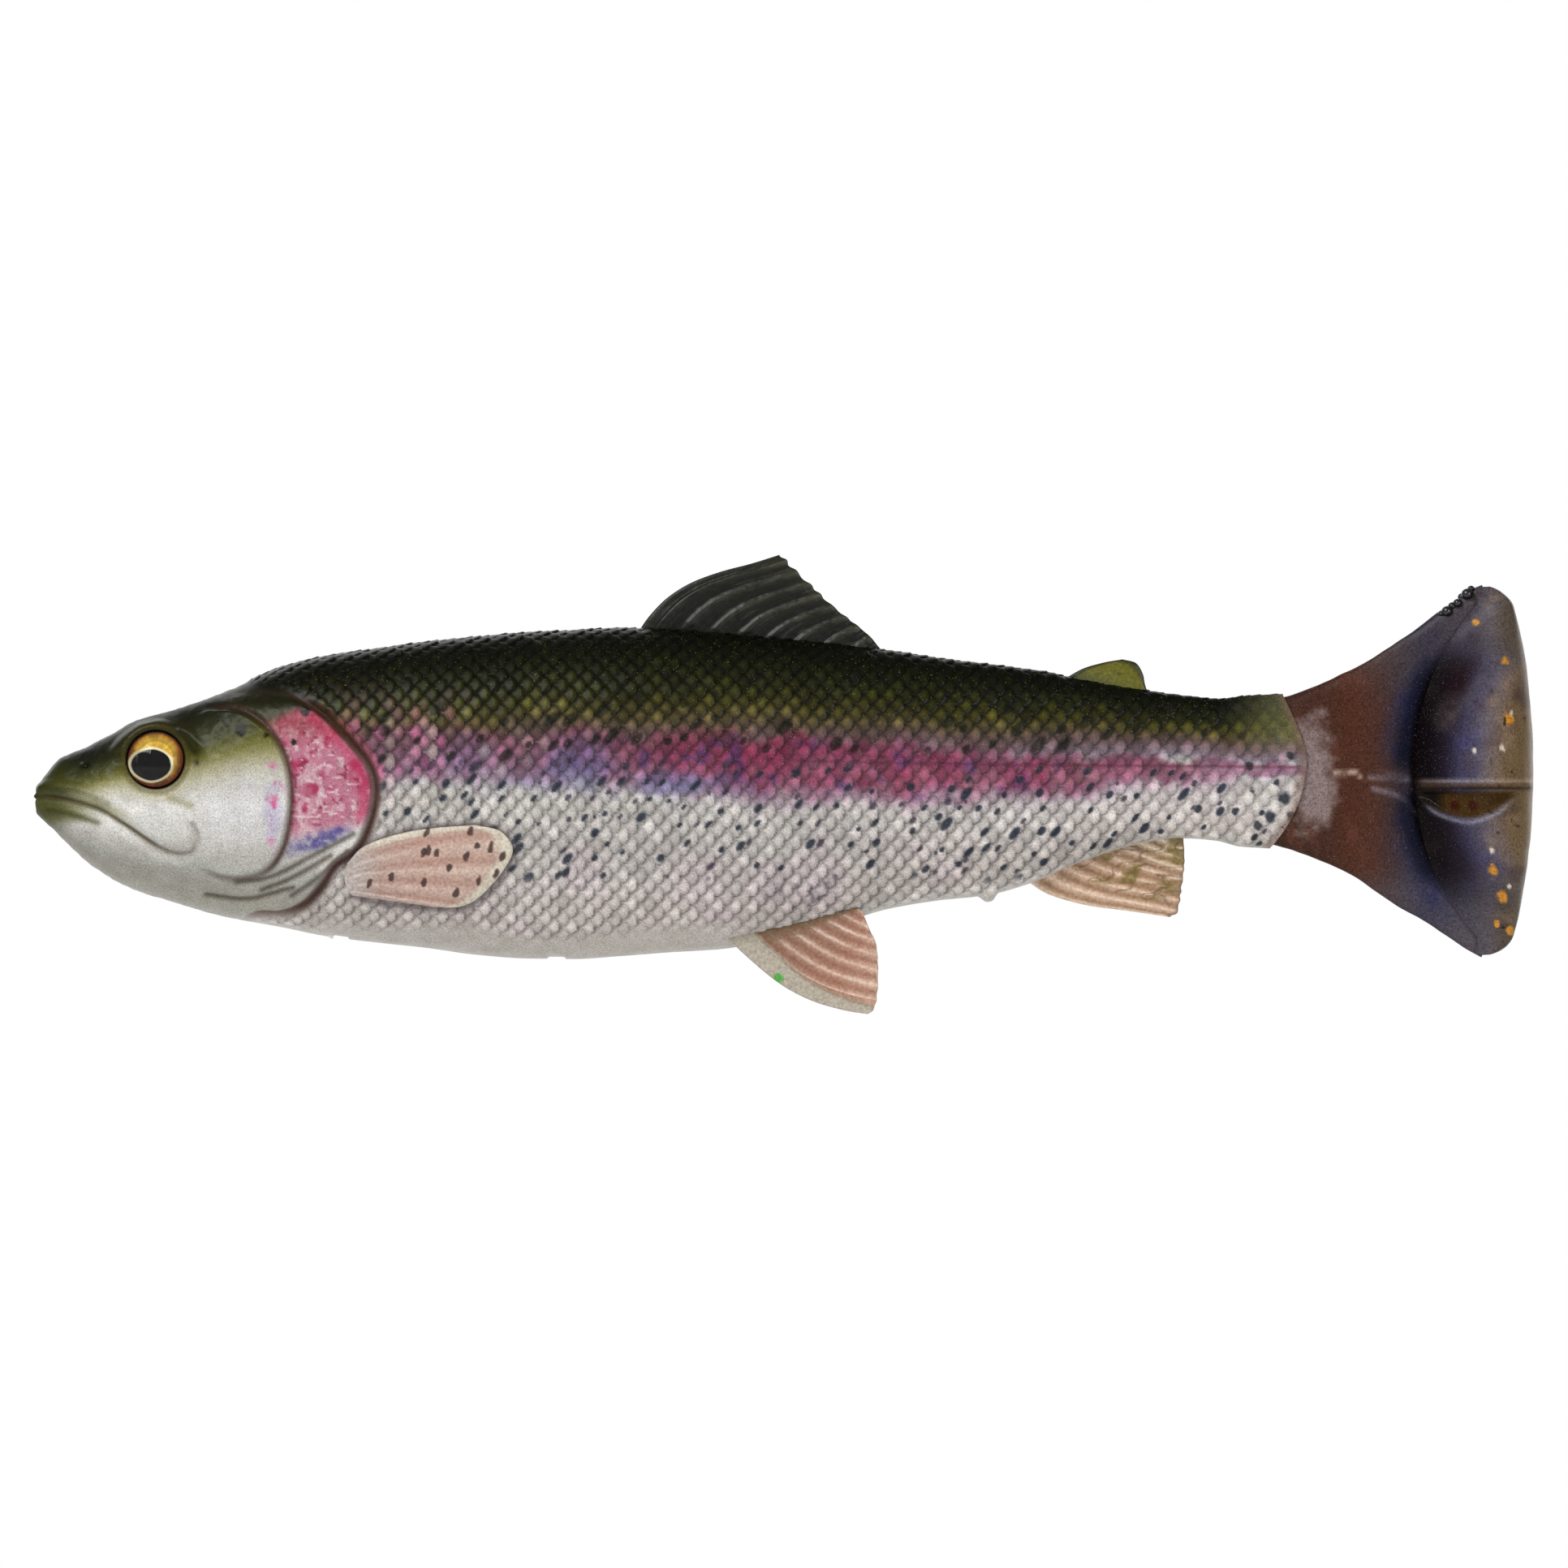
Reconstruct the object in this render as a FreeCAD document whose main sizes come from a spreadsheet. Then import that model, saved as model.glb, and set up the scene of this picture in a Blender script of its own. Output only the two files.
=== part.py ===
"""Soft trout swimbait with a pulse tail, rigged on a line tube.

Frame, in millimetres: the origin is the line tube's opening in the mouth,
+X runs to the tail, +Z to the back, and -Y is the fish's left flank.
"""
import FreeCAD
import Part
import Sketcher
import os

Vector = FreeCAD.Vector
Rotation = FreeCAD.Rotation
Placement = FreeCAD.Placement

# Cross-sections of the moulding: name, distance from the origin, back, belly, half-width.
STATIONS = [
    ("snout", -1.4, 1.6, -1.9, 1.7),
    ("lip", 2.0, 5.6, -5.0, 4.6),
    ("cheek", 8.5, 8.6, -10.4, 7.8),
    ("brow", 18.3, 12.3, -14.0, 10.4),
    ("nape", 31.2, 17.5, -17.0, 11.9),
    ("shoulder", 44.2, 20.0, -19.1, 12.5),
    ("breast", 60.0, 21.7, -21.0, 12.7),
    ("midback", 76.7, 22.8, -20.9, 12.2),
    ("finback", 91.0, 21.9, -19.4, 11.1),
    ("loin", 105.9, 20.5, -16.5, 9.4),
    ("flexion", 119.0, 18.7, -13.5, 7.5),
    ("vent", 132.0, 17.2, -11.6, 5.7),
    ("analbase", 144.9, 14.7, -6.2, 4.2),
    ("wrist", 154.5, 13.5, -5.3, 3.2),
    ("stock", 164.4, 13.9, -6.7, 2.6),
    ("tailroot", 172.5, 16.6, -9.4, 2.2),
    ("fan", 180.6, 21.2, -14.4, 1.9),
    ("fork", 187.1, 25.7, -18.0, 1.7),
    ("lobe", 193.0, 28.2, -20.6, 1.5),
]

DIMENSIONS = {
    # flex joints
    "trunk_axis": 122.0, "trunk_lobe": 5.0, "trunk_relief": 14.0,
    "tail_axis": 172.5, "tail_lobe": 1.4, "tail_relief": 25.0,
    "flex_gap": 0.3,
    # paddle: a hollow oval bulb, open at the front around the web
    "paddle_rear": 198.4, "paddle_level": 3.8, "paddle_thick": 1.6,
    "paddle_deep": 9.0, "paddle_wide": 10.0, "paddle_tall": 27.7,
    "rim_front": 182.2, "rim_level": 3.8, "rim_radius": 32.6,
    # fins
    "bead_radius": 0.8, "bead_gap": 0.3, "bead_end_gap": 0.3,
    "dorsal_length": 31.9, "dorsal_height": 11.6, "dorsal_thick": 1.2, "dorsal_pitch": 5.4,
    "adipose_length": 10.8, "adipose_height": 3.6, "adipose_thick": 1.0, "adipose_pitch": 11.2,
    "anal_length": 20.9, "anal_height": 9.9, "anal_thick": 1.2, "anal_pitch": -18.4,
    "pelvic_length": 18.9, "pelvic_height": 13.9, "pelvic_thick": 1.2, "pelvic_pitch": -10.4,
    "pelvic_splay": 12.0,
    "pectoral_length": 15.9, "pectoral_height": 11.1, "pectoral_thick": 1.8,
    "pectoral_root": 10.3, "pectoral_lean": 17.0, "pectoral_pitch": 7.2,
    # eyes
    "eye_radius": 3.8, "foil_thick": 0.5, "dome_height": 1.5, "eye_gap": 0.04,
    "eye_seat": 6.9, "eye_level": 5.25, "eye_at": 14.8,
    # inner parts
    "tube_radius": 1.1, "tube_bore": 0.65, "tube_length": 42.5, "tube_slope": 24.5,
    "weight_at": 52.0, "weight_level": -14.5,
    "weight_long": 13.0, "weight_wide": 4.5, "weight_high": 3.2,
    "magnet_at": 68.1, "magnet_level": -20.0, "magnet_radius": 2.5, "magnet_thick": 2.0,
    "mesh_thick": 0.4, "embed_gap": 0.02,
}

# Fin outlines, as fractions of root length and of height, from the front of the root to its rear.
DORSAL = [(0.02, 0.10), (0.13, 0.42), (0.34, 0.74), (0.56, 1.00), (0.64, 0.78),
          (0.81, 0.43), (0.88, 0.25), (0.97, 0.12)]
ADIPOSE = [(0.23, 0.45), (0.46, 0.82), (0.62, 0.97), (0.80, 1.00), (0.91, 0.64)]
ANAL = [(0.10, 0.21), (0.30, 0.50), (0.47, 0.69), (0.70, 0.91), (0.78, 1.00),
        (0.86, 0.93), (0.97, 0.42), (1.02, 0.11)]
PELVIC = [(0.04, 0.16), (0.24, 0.40), (0.36, 0.56), (0.69, 0.86), (0.92, 1.00),
          (1.00, 0.91), (1.06, 0.57), (1.05, 0.18)]
PECTORAL = [(0.01, 0.34), (0.17, 0.53), (0.71, 0.89), (1.06, 1.00), (1.32, 0.92),
            (1.39, 0.77), (1.36, 0.53), (1.19, 0.17)]

doc = FreeCAD.newDocument("swimbait")
sheet = doc.addObject("Spreadsheet::Sheet", "dims")
nodes = []


def fill_sheet():
    """Write every driving dimension to the sheet, with its name and alias."""
    values = dict(DIMENSIONS)
    for name, at, back, belly, half in STATIONS:
        values[name + "_at"] = at
        values[name + "_back"] = back
        values[name + "_belly"] = belly
        values[name + "_half"] = half
    for row, (name, value) in enumerate(values.items(), start=1):
        sheet.set("A%d" % row, name)
        sheet.set("B%d" % row, str(value))
        sheet.setAlias("B%d" % row, name)
    doc.recompute()


def bind(thing, **sizes):
    """Tie properties of one object to expressions over the sheet."""
    for prop, formula in sizes.items():
        thing.setExpression(prop.replace("__", "."), formula)
    return thing


def cut(base, tool, name):
    """Base minus tool."""
    result = doc.addObject("Part::Cut", name)
    result.Base = base
    result.Tool = tool
    return result


def common(base, tool, name):
    """What base and tool share."""
    result = doc.addObject("Part::Common", name)
    result.Base = base
    result.Tool = tool
    return result


def node(thing, label):
    """Register a finished sub-part under its file name."""
    thing.Label = label
    nodes.append(thing)
    return thing


def make_hull():
    """Loft the whole moulding through its elliptical sections, snout to tail lobe."""
    upright = Rotation(Vector(0, 0, 1), Vector(0, 1, 0), Vector(-1, 0, 0), "XYZ")
    rings = []
    for name, at, back, belly, half in STATIONS:
        ring = doc.addObject("Part::Ellipse", "ring_" + name)
        ring.Placement = Placement(Vector(at, 0, 0), upright)
        level = "(dims.{0}_back + dims.{0}_belly) / 2".format(name)
        tall = "(dims.{0}_back - dims.{0}_belly) / 2".format(name)
        ring.MajorRadius = (back - belly) / 2
        ring.MinorRadius = half
        bind(ring, Placement__Base__x="dims.%s_at" % name, Placement__Base__z=level,
             MajorRadius=tall, MinorRadius="dims.%s_half" % name)
        rings.append(ring)
    hull = doc.addObject("Part::Loft", "hull")
    hull.Sections = rings
    hull.Solid = True
    hull.Ruled = False
    doc.recompute()
    return hull


def slab(name, start, stop):
    """A block that spans the hull between two stations along X."""
    box = doc.addObject("Part::Box", name)
    box.Width = 60
    box.Height = 90
    box.Placement.Base = Vector(0, -30, -45)
    bind(box, Length="%s - (%s)" % (stop, start), Placement__Base__x=start)
    return box


def upright_post(name, axis, radius):
    """A vertical cylinder about a flex axis."""
    post = doc.addObject("Part::Cylinder", name)
    post.Height = 90
    post.Placement.Base = Vector(0, 0, -45)
    bind(post, Radius=radius, Placement__Base__x=axis)
    return post


def relief(name, joint, turn):
    """One V notch beside a flex axis, which lets that side close up."""
    reach = 16
    notch = doc.addObject("Part::Wedge", name)
    notch.Xmin, notch.Xmax = -0.01, 0.01
    notch.Ymin, notch.Ymax = 0, reach
    notch.Zmin, notch.Zmax = -45, 45
    notch.Z2min, notch.Z2max = -45, 45
    notch.Placement = Placement(Vector(0, 0, 0), Rotation(Vector(0, 0, 1), turn))
    spread = "%d * tan(dims.%s_relief * 1deg)" % (reach, joint)
    bind(notch, X2max=spread, X2min="-" + spread, Placement__Base__x="dims.%s_axis" % joint)
    return notch


def notched(block, joint, side):
    """Take both V notches of a flex joint out of a segment's block."""
    for flank, turn in (("left", 180), ("right", 0)):
        tag = "%s_%s_%s" % (joint, side, flank)
        block = cut(block, relief("notch_" + tag, joint, turn), "notched_" + tag)
    return block


def ahead_of(block, joint):
    """Finish a block's rear end with the socket of a flex joint."""
    block = notched(block, joint, "ahead")
    socket = upright_post("socket_" + joint, "dims.%s_axis" % joint,
                          "dims.%s_lobe + dims.flex_gap" % joint)
    return cut(block, socket, "socketed_" + joint)


def behind(block, joint):
    """Finish a block's front end with the rounded lobe of a flex joint."""
    block = notched(block, joint, "behind")
    joined = doc.addObject("Part::Fuse", "lobed_" + joint)
    joined.Base = block
    joined.Tool = upright_post("post_" + joint, "dims.%s_axis" % joint,
                               "dims.%s_lobe" % joint)
    return joined


def fin_frame(at, level, pitch, hang, side=0.0, splay=0.0):
    """Placement of a fin: local X along its root, local Z away from the body."""
    along = Rotation(Vector(0, 1, 0), pitch)
    turn = Rotation(Vector(1, 0, 0), (180 if hang else 0) + splay)
    return Placement(Vector(at, side, level), along.multiply(turn))


def outline_sketch(body, name, fin, outline):
    """Closed outline on the fin's XZ plane, sized by the fin's length and height."""
    plane = [f for f in body.Origin.OriginFeatures if f.Role == "XZ_Plane"][0]
    sketch = body.newObject("Sketcher::SketchObject", name)
    sketch.AttachmentSupport = (plane, [""])
    sketch.MapMode = "FlatFace"
    long = DIMENSIONS[fin + "_length"]
    tall = DIMENSIONS[fin + "_height"]
    points = [(0.0, 0.0)] + [(u * long, v * tall) for u, v in outline] + [(long, 0.0)]
    count = len(points)
    for i, start in enumerate(points):
        stop = points[(i + 1) % count]
        sketch.addGeometry(Part.LineSegment(Vector(*start, 0), Vector(*stop, 0)))
    constraint = Sketcher.Constraint
    for i in range(count):
        sketch.addConstraint(constraint("Coincident", i, 2, (i + 1) % count, 1))
    sketch.addConstraint(constraint("Coincident", 0, 1, -1, 1))
    sketch.addConstraint(constraint("PointOnObject", count - 1, 1, -1))
    rows = [(i + 1, u, v) for i, (u, v) in enumerate(outline)] + [(count - 1, 1.0, None)]
    for geo, u, v in rows:
        index = sketch.addConstraint(constraint("DistanceX", -1, 1, geo, 1, u * long))
        sketch.setExpression("Constraints[%d]" % index, "dims.%s_length * %g" % (fin, u))
        if v is not None:
            index = sketch.addConstraint(constraint("DistanceY", -1, 1, geo, 1, v * tall))
            sketch.setExpression("Constraints[%d]" % index, "dims.%s_height * %g" % (fin, v))
    return sketch


def fin_body(label, fin, outline, placement):
    """A flat fin on a round root bead that lies on its fold axis."""
    body = doc.addObject("PartDesign::Body", label)
    body.Placement = placement
    blade = body.newObject("PartDesign::Pad", label + "_blade")
    blade.Profile = outline_sketch(body, label + "_outline", fin, outline)
    blade.SideType = "Symmetric"
    bind(blade, Length="dims.%s_thick" % fin)
    plane = [f for f in body.Origin.OriginFeatures if f.Role == "YZ_Plane"][0]
    ring = body.newObject("Sketcher::SketchObject", label + "_ring")
    ring.AttachmentSupport = (plane, [""])
    ring.MapMode = "FlatFace"
    ring.addGeometry(Part.Circle(Vector(0, 0, 0), Vector(0, 0, 1), DIMENSIONS["bead_radius"]))
    ring.addConstraint(Sketcher.Constraint("Coincident", 0, 3, -1, 1))
    index = ring.addConstraint(Sketcher.Constraint("Radius", 0, DIMENSIONS["bead_radius"]))
    ring.setExpression("Constraints[%d]" % index, "dims.bead_radius")
    bead = body.newObject("PartDesign::Pad", label + "_bead")
    bead.Profile = ring
    bind(bead, Length="dims.%s_length" % fin)
    body.Tip = bead
    return body


def trough(name, fin, placement):
    """The groove in the moulding around a fin's root bead, a little longer than the bead."""
    groove = doc.addObject("Part::Cylinder", name)
    quarter = Rotation(Vector(0, 1, 0), 90)
    start = placement.multVec(Vector(-DIMENSIONS["bead_end_gap"], 0, 0))
    groove.Placement = Placement(start, placement.Rotation.multiply(quarter))
    bind(groove, Radius="dims.bead_radius + dims.bead_gap",
         Height="dims.%s_length + 2 * dims.bead_end_gap" % fin)
    return groove


def pectoral_fin(side_name, side):
    """A pectoral fin moulded in relief: a plate let into the flank, leaning with it."""
    body = doc.addObject("PartDesign::Body", "pectoral_" + side_name)
    root = Vector(39.2, side * DIMENSIONS["pectoral_root"], -12.3)
    lean = Rotation(Vector(1, 0, 0), -side * DIMENSIONS["pectoral_lean"])
    pitch = Rotation(Vector(0, 1, 0), DIMENSIONS["pectoral_pitch"])
    body.Placement = Placement(root, lean.multiply(pitch))
    pad = body.newObject("PartDesign::Pad", "pectoral_pad_" + side_name)
    pad.Profile = outline_sketch(body, "pectoral_outline_" + side_name, "pectoral", PECTORAL)
    pad.SideType = "Symmetric"
    bind(pad, Length="dims.pectoral_thick")
    return body


def eye_frame(side, depth):
    """Placement whose local Z leaves the head through the eye, a little up and forward."""
    aim = Vector(-0.10, side, 0.17).normalize()
    seat = Vector(DIMENSIONS["eye_at"], side * DIMENSIONS["eye_seat"], DIMENSIONS["eye_level"])
    return Placement(seat + aim * depth, Rotation(Vector(0, 0, 1), aim))


def eye(side_name, side):
    """A printed foil disc under a clear dome, and the seat they sit in."""
    foil = doc.addObject("Part::Cylinder", "foil_" + side_name)
    foil.Placement = eye_frame(side, 0)
    bind(foil, Radius="dims.eye_radius", Height="dims.foil_thick")
    node(foil, "eye_%s_foil" % side_name)
    ball = doc.addObject("Part::Sphere", "ball_" + side_name)
    radius = "(dims.eye_radius ^ 2 + dims.dome_height ^ 2) / (2 * dims.dome_height)"
    bind(ball, Radius=radius)
    high = DIMENSIONS["dome_height"]
    reach = (DIMENSIONS["eye_radius"] ** 2 + high ** 2) / (2 * high)
    ball.Placement = eye_frame(side, DIMENSIONS["foil_thick"] + high - reach)
    cap = doc.addObject("Part::Cylinder", "cap_" + side_name)
    cap.Placement = eye_frame(side, DIMENSIONS["foil_thick"])
    bind(cap, Radius="dims.eye_radius + 1", Height="dims.dome_height + 1")
    node(common(ball, cap, "dome_" + side_name), "eye_%s_dome" % side_name)
    seat = doc.addObject("Part::Cylinder", "seat_" + side_name)
    seat.Height = 6
    seat.Placement = eye_frame(side, -DIMENSIONS["embed_gap"])
    bind(seat, Radius="dims.eye_radius + dims.eye_gap")
    return seat


def line_tube():
    """The plain tube that the line runs through, from the mouth to the belly, and its hole."""
    slope = Placement(Vector(0, 0, 0), Rotation(Vector(0, 1, 0), 90 + DIMENSIONS["tube_slope"]))
    outside = doc.addObject("Part::Cylinder", "tube_outside")
    outside.Placement = slope
    bind(outside, Radius="dims.tube_radius", Height="dims.tube_length")
    inside = doc.addObject("Part::Cylinder", "tube_inside")
    inside.Placement = Placement(slope.multVec(Vector(0, 0, -1)), slope.Rotation)
    bind(inside, Radius="dims.tube_bore", Height="dims.tube_length + 2")
    node(cut(outside, inside, "tube"), "line_tube")
    hole = doc.addObject("Part::Cylinder", "tube_hole")
    hole.Placement = Placement(slope.multVec(Vector(0, 0, -4)), slope.Rotation)
    bind(hole, Radius="dims.tube_radius + dims.embed_gap", Height="dims.tube_length + 16")
    return hole


def keel_weight():
    """The cast belly weight and its pocket."""
    pocket = None
    for name, gap in (("weight", ""), ("weight_pocket", " + dims.embed_gap")):
        blob = doc.addObject("Part::Ellipsoid", name)
        blob.Angle1 = -90
        blob.Angle2 = 90
        bind(blob, Radius2="dims.weight_long" + gap, Radius3="dims.weight_wide" + gap,
             Radius1="dims.weight_high" + gap, Placement__Base__x="dims.weight_at",
             Placement__Base__z="dims.weight_level")
        pocket = blob
        if not gap:
            node(blob, "keel_weight")
    return pocket


def hook_magnet():
    """The disc magnet that would park a belly hook, and its pocket."""
    pocket = None
    for name, gap in (("magnet", ""), ("magnet_pocket", " + dims.embed_gap")):
        disc = doc.addObject("Part::Cylinder", name)
        height = "dims.magnet_thick" + (" + 2 * dims.embed_gap" if gap else "")
        level = "dims.magnet_level" + (" - dims.embed_gap" if gap else "")
        bind(disc, Radius="dims.magnet_radius" + gap, Height=height,
             Placement__Base__x="dims.magnet_at", Placement__Base__z=level)
        pocket = disc
        if not gap:
            node(disc, "hook_magnet")
    return pocket


def mesh_strip(label, start, stop, low, high):
    """A strip of reinforcing mesh in the middle plane, and its slit."""
    slit = None
    for name, gap in ((label, 0.0), (label + "_slit", DIMENSIONS["embed_gap"])):
        strip = doc.addObject("Part::Box", name)
        strip.Length = stop - start + 2 * gap
        strip.Height = high - low + 2 * gap
        strip.Placement.Base = Vector(start - gap, 0, low - gap)
        bind(strip, Width="dims.mesh_thick + %g" % (2 * gap),
             Placement__Base__y="-dims.mesh_thick / 2 - %g" % gap)
        slit = strip
        if not gap:
            node(strip, label)
    return slit


def paddle_bowl(name, inset):
    """Egg that bounds the paddle, inset from its outer face."""
    egg = doc.addObject("Part::Ellipsoid", name)
    egg.Angle1 = -90
    egg.Angle2 = 90
    less = " - %s" % inset if inset else ""
    bind(egg, Radius2="dims.paddle_deep" + less, Radius3="dims.paddle_wide" + less,
         Radius1="dims.paddle_tall" + less, Placement__Base__z="dims.paddle_level",
         Placement__Base__x="dims.paddle_rear - dims.paddle_deep")
    return egg


def make_tail(hull):
    """The flexible web and the hollow paddle at its end."""
    outer = paddle_bowl("bowl_outer", "")
    inner = paddle_bowl("bowl_inner", "dims.paddle_thick")
    rim = doc.addObject("Part::Cylinder", "rim")
    rim.Height = 40
    rim.Placement = Placement(Vector(0, 20, 0), Rotation(Vector(1, 0, 0), 90))
    bind(rim, Radius="dims.rim_radius", Placement__Base__z="dims.rim_level",
         Placement__Base__x="dims.rim_front + dims.rim_radius")
    paddle = common(cut(outer, inner, "bowl"), rim, "paddle")
    node(paddle, "tail_paddle")
    block = behind(slab("web_slab", "dims.tail_axis", "dims.lobe_at"), "tail")
    return cut(common(hull, block, "web_blank"), paddle, "web_ahead")


def check_and_write():
    """Stop on any failed object, then write one file per sub-part."""
    doc.recompute()
    for thing in doc.Objects:
        if "Invalid" in thing.State or "Error" in thing.State:
            raise RuntimeError("%s: %s" % (thing.Name, thing.State))
    os.makedirs("parts", exist_ok=True)
    for thing in nodes:
        shape = thing.Shape
        if shape.isNull() or not shape.isValid() or len(shape.Solids) != 1:
            raise RuntimeError("%s has no single valid solid" % thing.Label)
        shape.exportStep("parts/%s.step" % thing.Label)
        print("%-20s %8.1f mm3  %s" % (thing.Label, shape.Volume, shape.BoundBox))


def main():
    fill_sheet()
    hull = make_hull()

    dorsal_at = fin_frame(79.1, 22.8, DIMENSIONS["dorsal_pitch"], False)
    adipose_at = fin_frame(136.2, 16.5, DIMENSIONS["adipose_pitch"], False)
    anal_at = fin_frame(131.3, -11.3, DIMENSIONS["anal_pitch"], True)
    splay = DIMENSIONS["pelvic_splay"]
    pelvic_pitch = DIMENSIONS["pelvic_pitch"]
    left_at = fin_frame(90.0, -18.2, pelvic_pitch, True, side=-3.8, splay=-splay)
    right_at = fin_frame(90.0, -18.2, pelvic_pitch, True, side=3.8, splay=splay)

    node(fin_body("dorsal_fin", "dorsal", DORSAL, dorsal_at), "dorsal_fin")
    node(fin_body("adipose_fin", "adipose", ADIPOSE, adipose_at), "adipose_fin")
    node(fin_body("anal_fin", "anal", ANAL, anal_at), "anal_fin")
    node(fin_body("pelvic_fin_left", "pelvic", PELVIC, left_at), "pelvic_fin_left")
    node(fin_body("pelvic_fin_right", "pelvic", PELVIC, right_at), "pelvic_fin_right")

    front_tools = [
        trough("dorsal_trough", "dorsal", dorsal_at),
        trough("pelvic_trough_left", "pelvic", left_at),
        trough("pelvic_trough_right", "pelvic", right_at),
        eye("left", -1),
        eye("right", 1),
        line_tube(),
        keel_weight(),
        hook_magnet(),
        mesh_strip("mesh_front", 30.0, 114.0, -3.0, 9.0),
    ]
    for side_name, side in (("left", -1), ("right", 1)):
        fin = pectoral_fin(side_name, side)
        node(fin, "pectoral_fin_" + side_name)
        front_tools.append(fin)
    rear_tools = [
        trough("adipose_trough", "adipose", adipose_at),
        trough("anal_trough", "anal", anal_at),
        mesh_strip("mesh_rear", 130.0, 166.0, 0.0, 8.0),
    ]

    block = ahead_of(slab("front_slab", "-5", "dims.trunk_axis"), "trunk")
    front = common(hull, block, "front_blank")
    for tool in front_tools:
        front = cut(front, tool, "front_less_" + tool.Name)
    node(front, "body_front")

    block = behind(slab("rear_slab", "dims.trunk_axis", "dims.tail_axis"), "trunk")
    rear = common(hull, ahead_of(block, "tail"), "rear_blank")
    for tool in rear_tools:
        rear = cut(rear, tool, "rear_less_" + tool.Name)
    node(rear, "body_rear")

    web = make_tail(hull)
    web = cut(web, mesh_strip("mesh_tail", 176.0, 190.0, 0.0, 7.0), "web_less_mesh")
    node(web, "tail_web")
    check_and_write()


main()
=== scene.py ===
"""Soft trout swimbait: the visible skins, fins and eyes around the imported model.

Lengths in this script are millimetres in the model's own frame (+X to the tail, +Z to the back,
-Y the left flank), and are turned into metres when a mesh is made.
"""
import bpy
import math
import numpy as np
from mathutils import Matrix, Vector


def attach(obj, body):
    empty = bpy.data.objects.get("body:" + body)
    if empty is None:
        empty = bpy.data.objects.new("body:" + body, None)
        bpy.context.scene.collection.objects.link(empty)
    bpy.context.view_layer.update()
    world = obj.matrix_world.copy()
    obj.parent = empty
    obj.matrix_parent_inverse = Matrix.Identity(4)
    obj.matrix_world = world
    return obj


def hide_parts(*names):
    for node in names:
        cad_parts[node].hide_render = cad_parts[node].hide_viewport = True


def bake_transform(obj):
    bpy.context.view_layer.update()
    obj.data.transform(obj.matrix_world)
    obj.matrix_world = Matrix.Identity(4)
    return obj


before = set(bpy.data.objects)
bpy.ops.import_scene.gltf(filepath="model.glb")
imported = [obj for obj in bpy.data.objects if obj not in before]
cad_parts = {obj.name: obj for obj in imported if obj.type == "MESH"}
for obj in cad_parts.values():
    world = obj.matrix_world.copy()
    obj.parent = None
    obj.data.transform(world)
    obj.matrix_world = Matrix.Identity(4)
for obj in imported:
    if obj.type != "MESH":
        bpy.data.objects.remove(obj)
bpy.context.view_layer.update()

MM = 0.001
STEP = 0.22


# ---------------------------------------------------------------- numbers and fields
def smooth(low, high, value):
    t = np.clip((value - low) / (high - low), 0.0, 1.0)
    return t * t * (3.0 - 2.0 * t)


def bell(value, width):
    return np.exp(-(value / width) ** 2)


def curve(x, points):
    """Smooth curve through (x, y) points: cubic Hermite with limited slopes."""
    xs, ys = np.array(points, float).T
    slope = np.diff(ys) / np.diff(xs)
    inner = np.where(slope[1:] * slope[:-1] > 0,
                     2 * slope[1:] * slope[:-1] / (slope[1:] + slope[:-1] + 1e-12), 0.0)
    tangent = np.concatenate([[slope[0]], inner, [slope[-1]]])
    x = np.clip(x, xs[0], xs[-1])
    i = np.clip(np.searchsorted(xs, x, side="right") - 1, 0, len(xs) - 2)
    h = xs[i + 1] - xs[i]
    t = (x - xs[i]) / h
    return ((2 * t ** 3 - 3 * t ** 2 + 1) * ys[i] + (t ** 3 - 2 * t ** 2 + t) * h * tangent[i]
            + (3 * t ** 2 - 2 * t ** 3) * ys[i + 1] + (t ** 3 - t ** 2) * h * tangent[i + 1])


def rounded(points, closed=False, steps=6):
    """Catmull-Rom subdivision of a plane polyline."""
    pts = np.array(points, float)
    if closed:
        pts = np.vstack([pts[-1:], pts, pts[:2]])
    else:
        pts = np.vstack([2 * pts[0] - pts[1], pts, 2 * pts[-1] - pts[-2]])
    out = []
    for a, b, c, d in zip(pts[:-3], pts[1:-2], pts[2:-1], pts[3:]):
        for t in np.arange(steps) / steps:
            out.append(0.5 * (2 * b + (c - a) * t + (2 * a - 5 * b + 4 * c - d) * t * t
                              + (3 * b - a - 3 * c + d) * t ** 3))
    if not closed:
        out.append(pts[-2])
    return np.array(out)


def line_distance(x, z, line):
    """Distance from each point to a polyline in the side view."""
    best = np.full(x.shape, 1e9)
    for (ax, az), (bx, bz) in zip(line[:-1], line[1:]):
        ux, uz = bx - ax, bz - az
        t = np.clip(((x - ax) * ux + (z - az) * uz) / (ux * ux + uz * uz + 1e-12), 0, 1)
        best = np.minimum(best, (x - ax - t * ux) ** 2 + (z - az - t * uz) ** 2)
    return np.sqrt(best)


def signed_distance(x, z, outline):
    """Distance to a closed outline, negative inside."""
    loop = np.vstack([outline, outline[:1]])
    inside = np.zeros(x.shape, bool)
    for (ax, az), (bx, bz) in zip(loop[:-1], loop[1:]):
        if az == bz:
            continue
        crosses = (az > z) != (bz > z)
        inside ^= crosses & (x < (bx - ax) * (z - az) / (bz - az) + ax)
    away = line_distance(x, z, loop)
    return np.where(inside, -away, away)


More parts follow.
